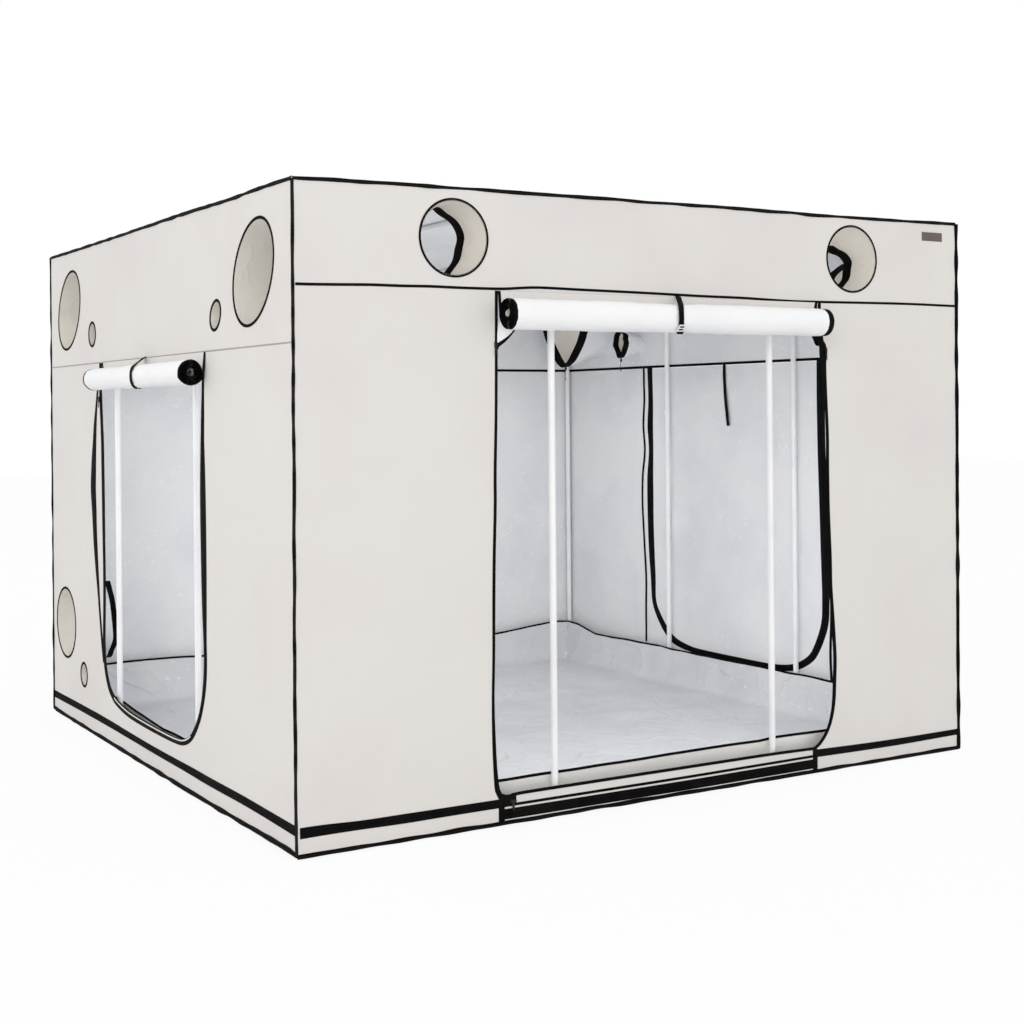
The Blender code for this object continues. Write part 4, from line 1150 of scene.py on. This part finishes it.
# The back faces take the brighter finish: painted light where the tray's outside lies in shade.
tray = cloth_grid("tray_film", tray_film_points(spots), .0012, [tray_film, tray_back_painted_lit],
                  slot="lining")
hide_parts("spill_tray")
run = np.linspace(-REACH, REACH, 120)
rim = np.concatenate([np.stack([run, 0 * run - REACH], 1),
                      np.stack([0 * run + REACH, run], 1)[1:],
                      np.stack([-run, 0 * run + REACH], 1)[1:],
                      np.stack([0 * run - REACH, -run], 1)[1:-1]])
path = np.column_stack([rim, rim_height(rim[:, 0], rim[:, 1])])
sweep("tray_rim", path, np.tile((0, 0, 1), (len(path), 1)),
      [(-.0016, -.005), (.0016, -.005), (.0018, .004), (0, .0052), (-.0018, .004)], [binding],
      closed=True, slot="black_trim")

# %% [markdown]
# ## Blank patch
# A woven patch is sewn on beside the right front port. It's left blank.

# %% Patch
tape("blank_patch", "front", line_of([(1.299, 2.1405), (1.414, 2.1405)]), .036, .0012, FACE,
     patch_cloth)

# %% [markdown]
# ## Cord locks and their tails
# The gathered hems end in a small cord lock with a short, limp tail, knotted at its end.

# %% Locks and tails
def turned(name, spot, rings, material, steps=16, **options):
    """A small round part, from (height, radius) rings, that hangs at a spot."""
    path = [(spot[0], spot[1], spot[2] + height) for height, _ in rings]
    angle = np.arange(steps) * 2 * math.pi / steps
    unit = np.stack([np.cos(angle), np.sin(angle)], 1)
    section = np.array([unit * radius for _, radius in rings])
    return sweep(name, path, np.tile((0, 1, 0), (len(path), 1)), section, [material], **options)


for side, name, below in (("right", "near_duct", -.004), ("right", "near_cable", -.008)):
    at, high, kind = PORTS[side][name]
    _, length, _, hem = kind
    a, b = drop(np.array([math.pi]), 1.0, kind)
    tip = on_side(side, at + a, high + b, FACE - length + hem / 2)[0]
    turned(f"{side}_{name}_lock", tip + (0, 0, below),
           [(-.012, .0015), (-.0118, .0040), (-.009, .0052), (.000, .0055), (.004, .0048),
            (.0045, .0034), (.008, .0034), (.0085, .0044), (.011, .0044), (.012, .002)],
           lock_plastic, slot="black_trim")
    start = tip + (0, 0, below - .012)
    curve = bpy.data.curves.new(f"{side}_{name}_tail", "CURVE")
    curve.dimensions = "3D"
    curve.bevel_depth = .0013
    curve.bevel_resolution = 3
    line = curve.splines.new("POLY")
    drops = np.linspace(0, .046, 14)
    line.points.add(len(drops) - 1)
    for point, down in zip(line.points, drops):
        sway = .004 * math.sin(down * 60)
        point.co = (start[0] - sway, start[1] + .5 * sway, start[2] - down, 1)
    curve.materials.append(cord_black)
    tail = put(f"{side}_{name}_tail", curve)
    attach(tail, "tent")
    end = np.array(line.points[-1].co[:3])
    knot = turned(f"{side}_{name}_knot", end, [(-.006, .0006), (-.0055, .0022), (-.003, .0030),
                                               (-.001, .0022), (.001, .0029), (.0035, .0016)],
                  cord_black, slot="black_trim")

# %% [markdown]
# ## Floor, backdrop and light
# The studio is white: a pale floor that fades to white towards the camera, a white world, a
# large soft light from the front left, and three soft lamps inside, for the light that the
# lining throws about.

# %% Floor and light
def studio_floor():
    material, tree, shader, place, _ = new_material("studio_floor")
    base = mix_colours(tree, noise(tree, place, 0.6, 2.0), (.93, .93, .93, 1), (.96, .96, .96, 1))
    feed(tree, shader, {"Base Color": base, "Roughness": 0.9})
    seen = add(tree, "ShaderNodeLightPath").outputs
    glow = add(tree, "ShaderNodeEmission", {"Color": (1, 1, 1, 1), "Strength": 1.0}).outputs[0]
    share = maths(tree, "MULTIPLY", seen["Is Camera Ray"], 0.90)
    mixed = add(tree, "ShaderNodeMixShader", {0: share, 1: shader.outputs[0], 2: glow}).outputs[0]
    tree.links.new(mixed, tree.nodes["Material Output"].inputs["Surface"])
    return material


mesh = bpy.data.meshes.new("studio_floor")
mesh.from_pydata([(-30, -30, 0), (30, -30, 0), (30, 30, 0), (-30, 30, 0)], [], [(0, 1, 2, 3)])
mesh.materials.append(studio_floor())
ground = put("studio_floor", mesh)
ground.location.z = -.0025      # just under the tent's floor sheet

world = bpy.data.worlds.new("studio_world")
bpy.context.scene.world = world
world.use_nodes = True
tree = world.node_tree
seen = add(tree, "ShaderNodeLightPath").outputs
open_view = maths(tree, "MAXIMUM", seen["Is Camera Ray"], seen["Is Glossy Ray"])
feed(tree, tree.nodes["Background"], {"Strength": maths(tree, "MAXIMUM", open_view, 0.88),
                                      "Color": (1, 1, 1, 1)})


def area_light(name, place, target, size, power, tint=(1, 1, 1)):
    light = bpy.data.lights.new(name, "AREA")
    light.shape = "RECTANGLE"
    light.size, light.size_y = size
    light.energy = power
    light.color = tint
    made = put(name, light)
    made.location = place
    made.rotation_euler = (Vector(target) - Vector(place)).to_track_quat("-Z", "Y").to_euler()
    made.visible_camera = False


FILM_LIGHT = (.985, .994, 1)
area_light("key", (-10.3, -10.4, 7.5), (0, -1, 1), (8.0, 6.0), 368)
area_light("inside_top", (0, .25, 1.62), (0, .25, 0), (2.3, 2.1), 5.9, FILM_LIGHT)
area_light("inside_front", (0, -1.25, .95), (0, 1.5, .95), (2.2, 1.5), 11.4, FILM_LIGHT)
area_light("inside_back", (.2, .35, 1.0), (.2, 1.5, 1.0), (2.2, 1.7), 2.6, FILM_LIGHT)
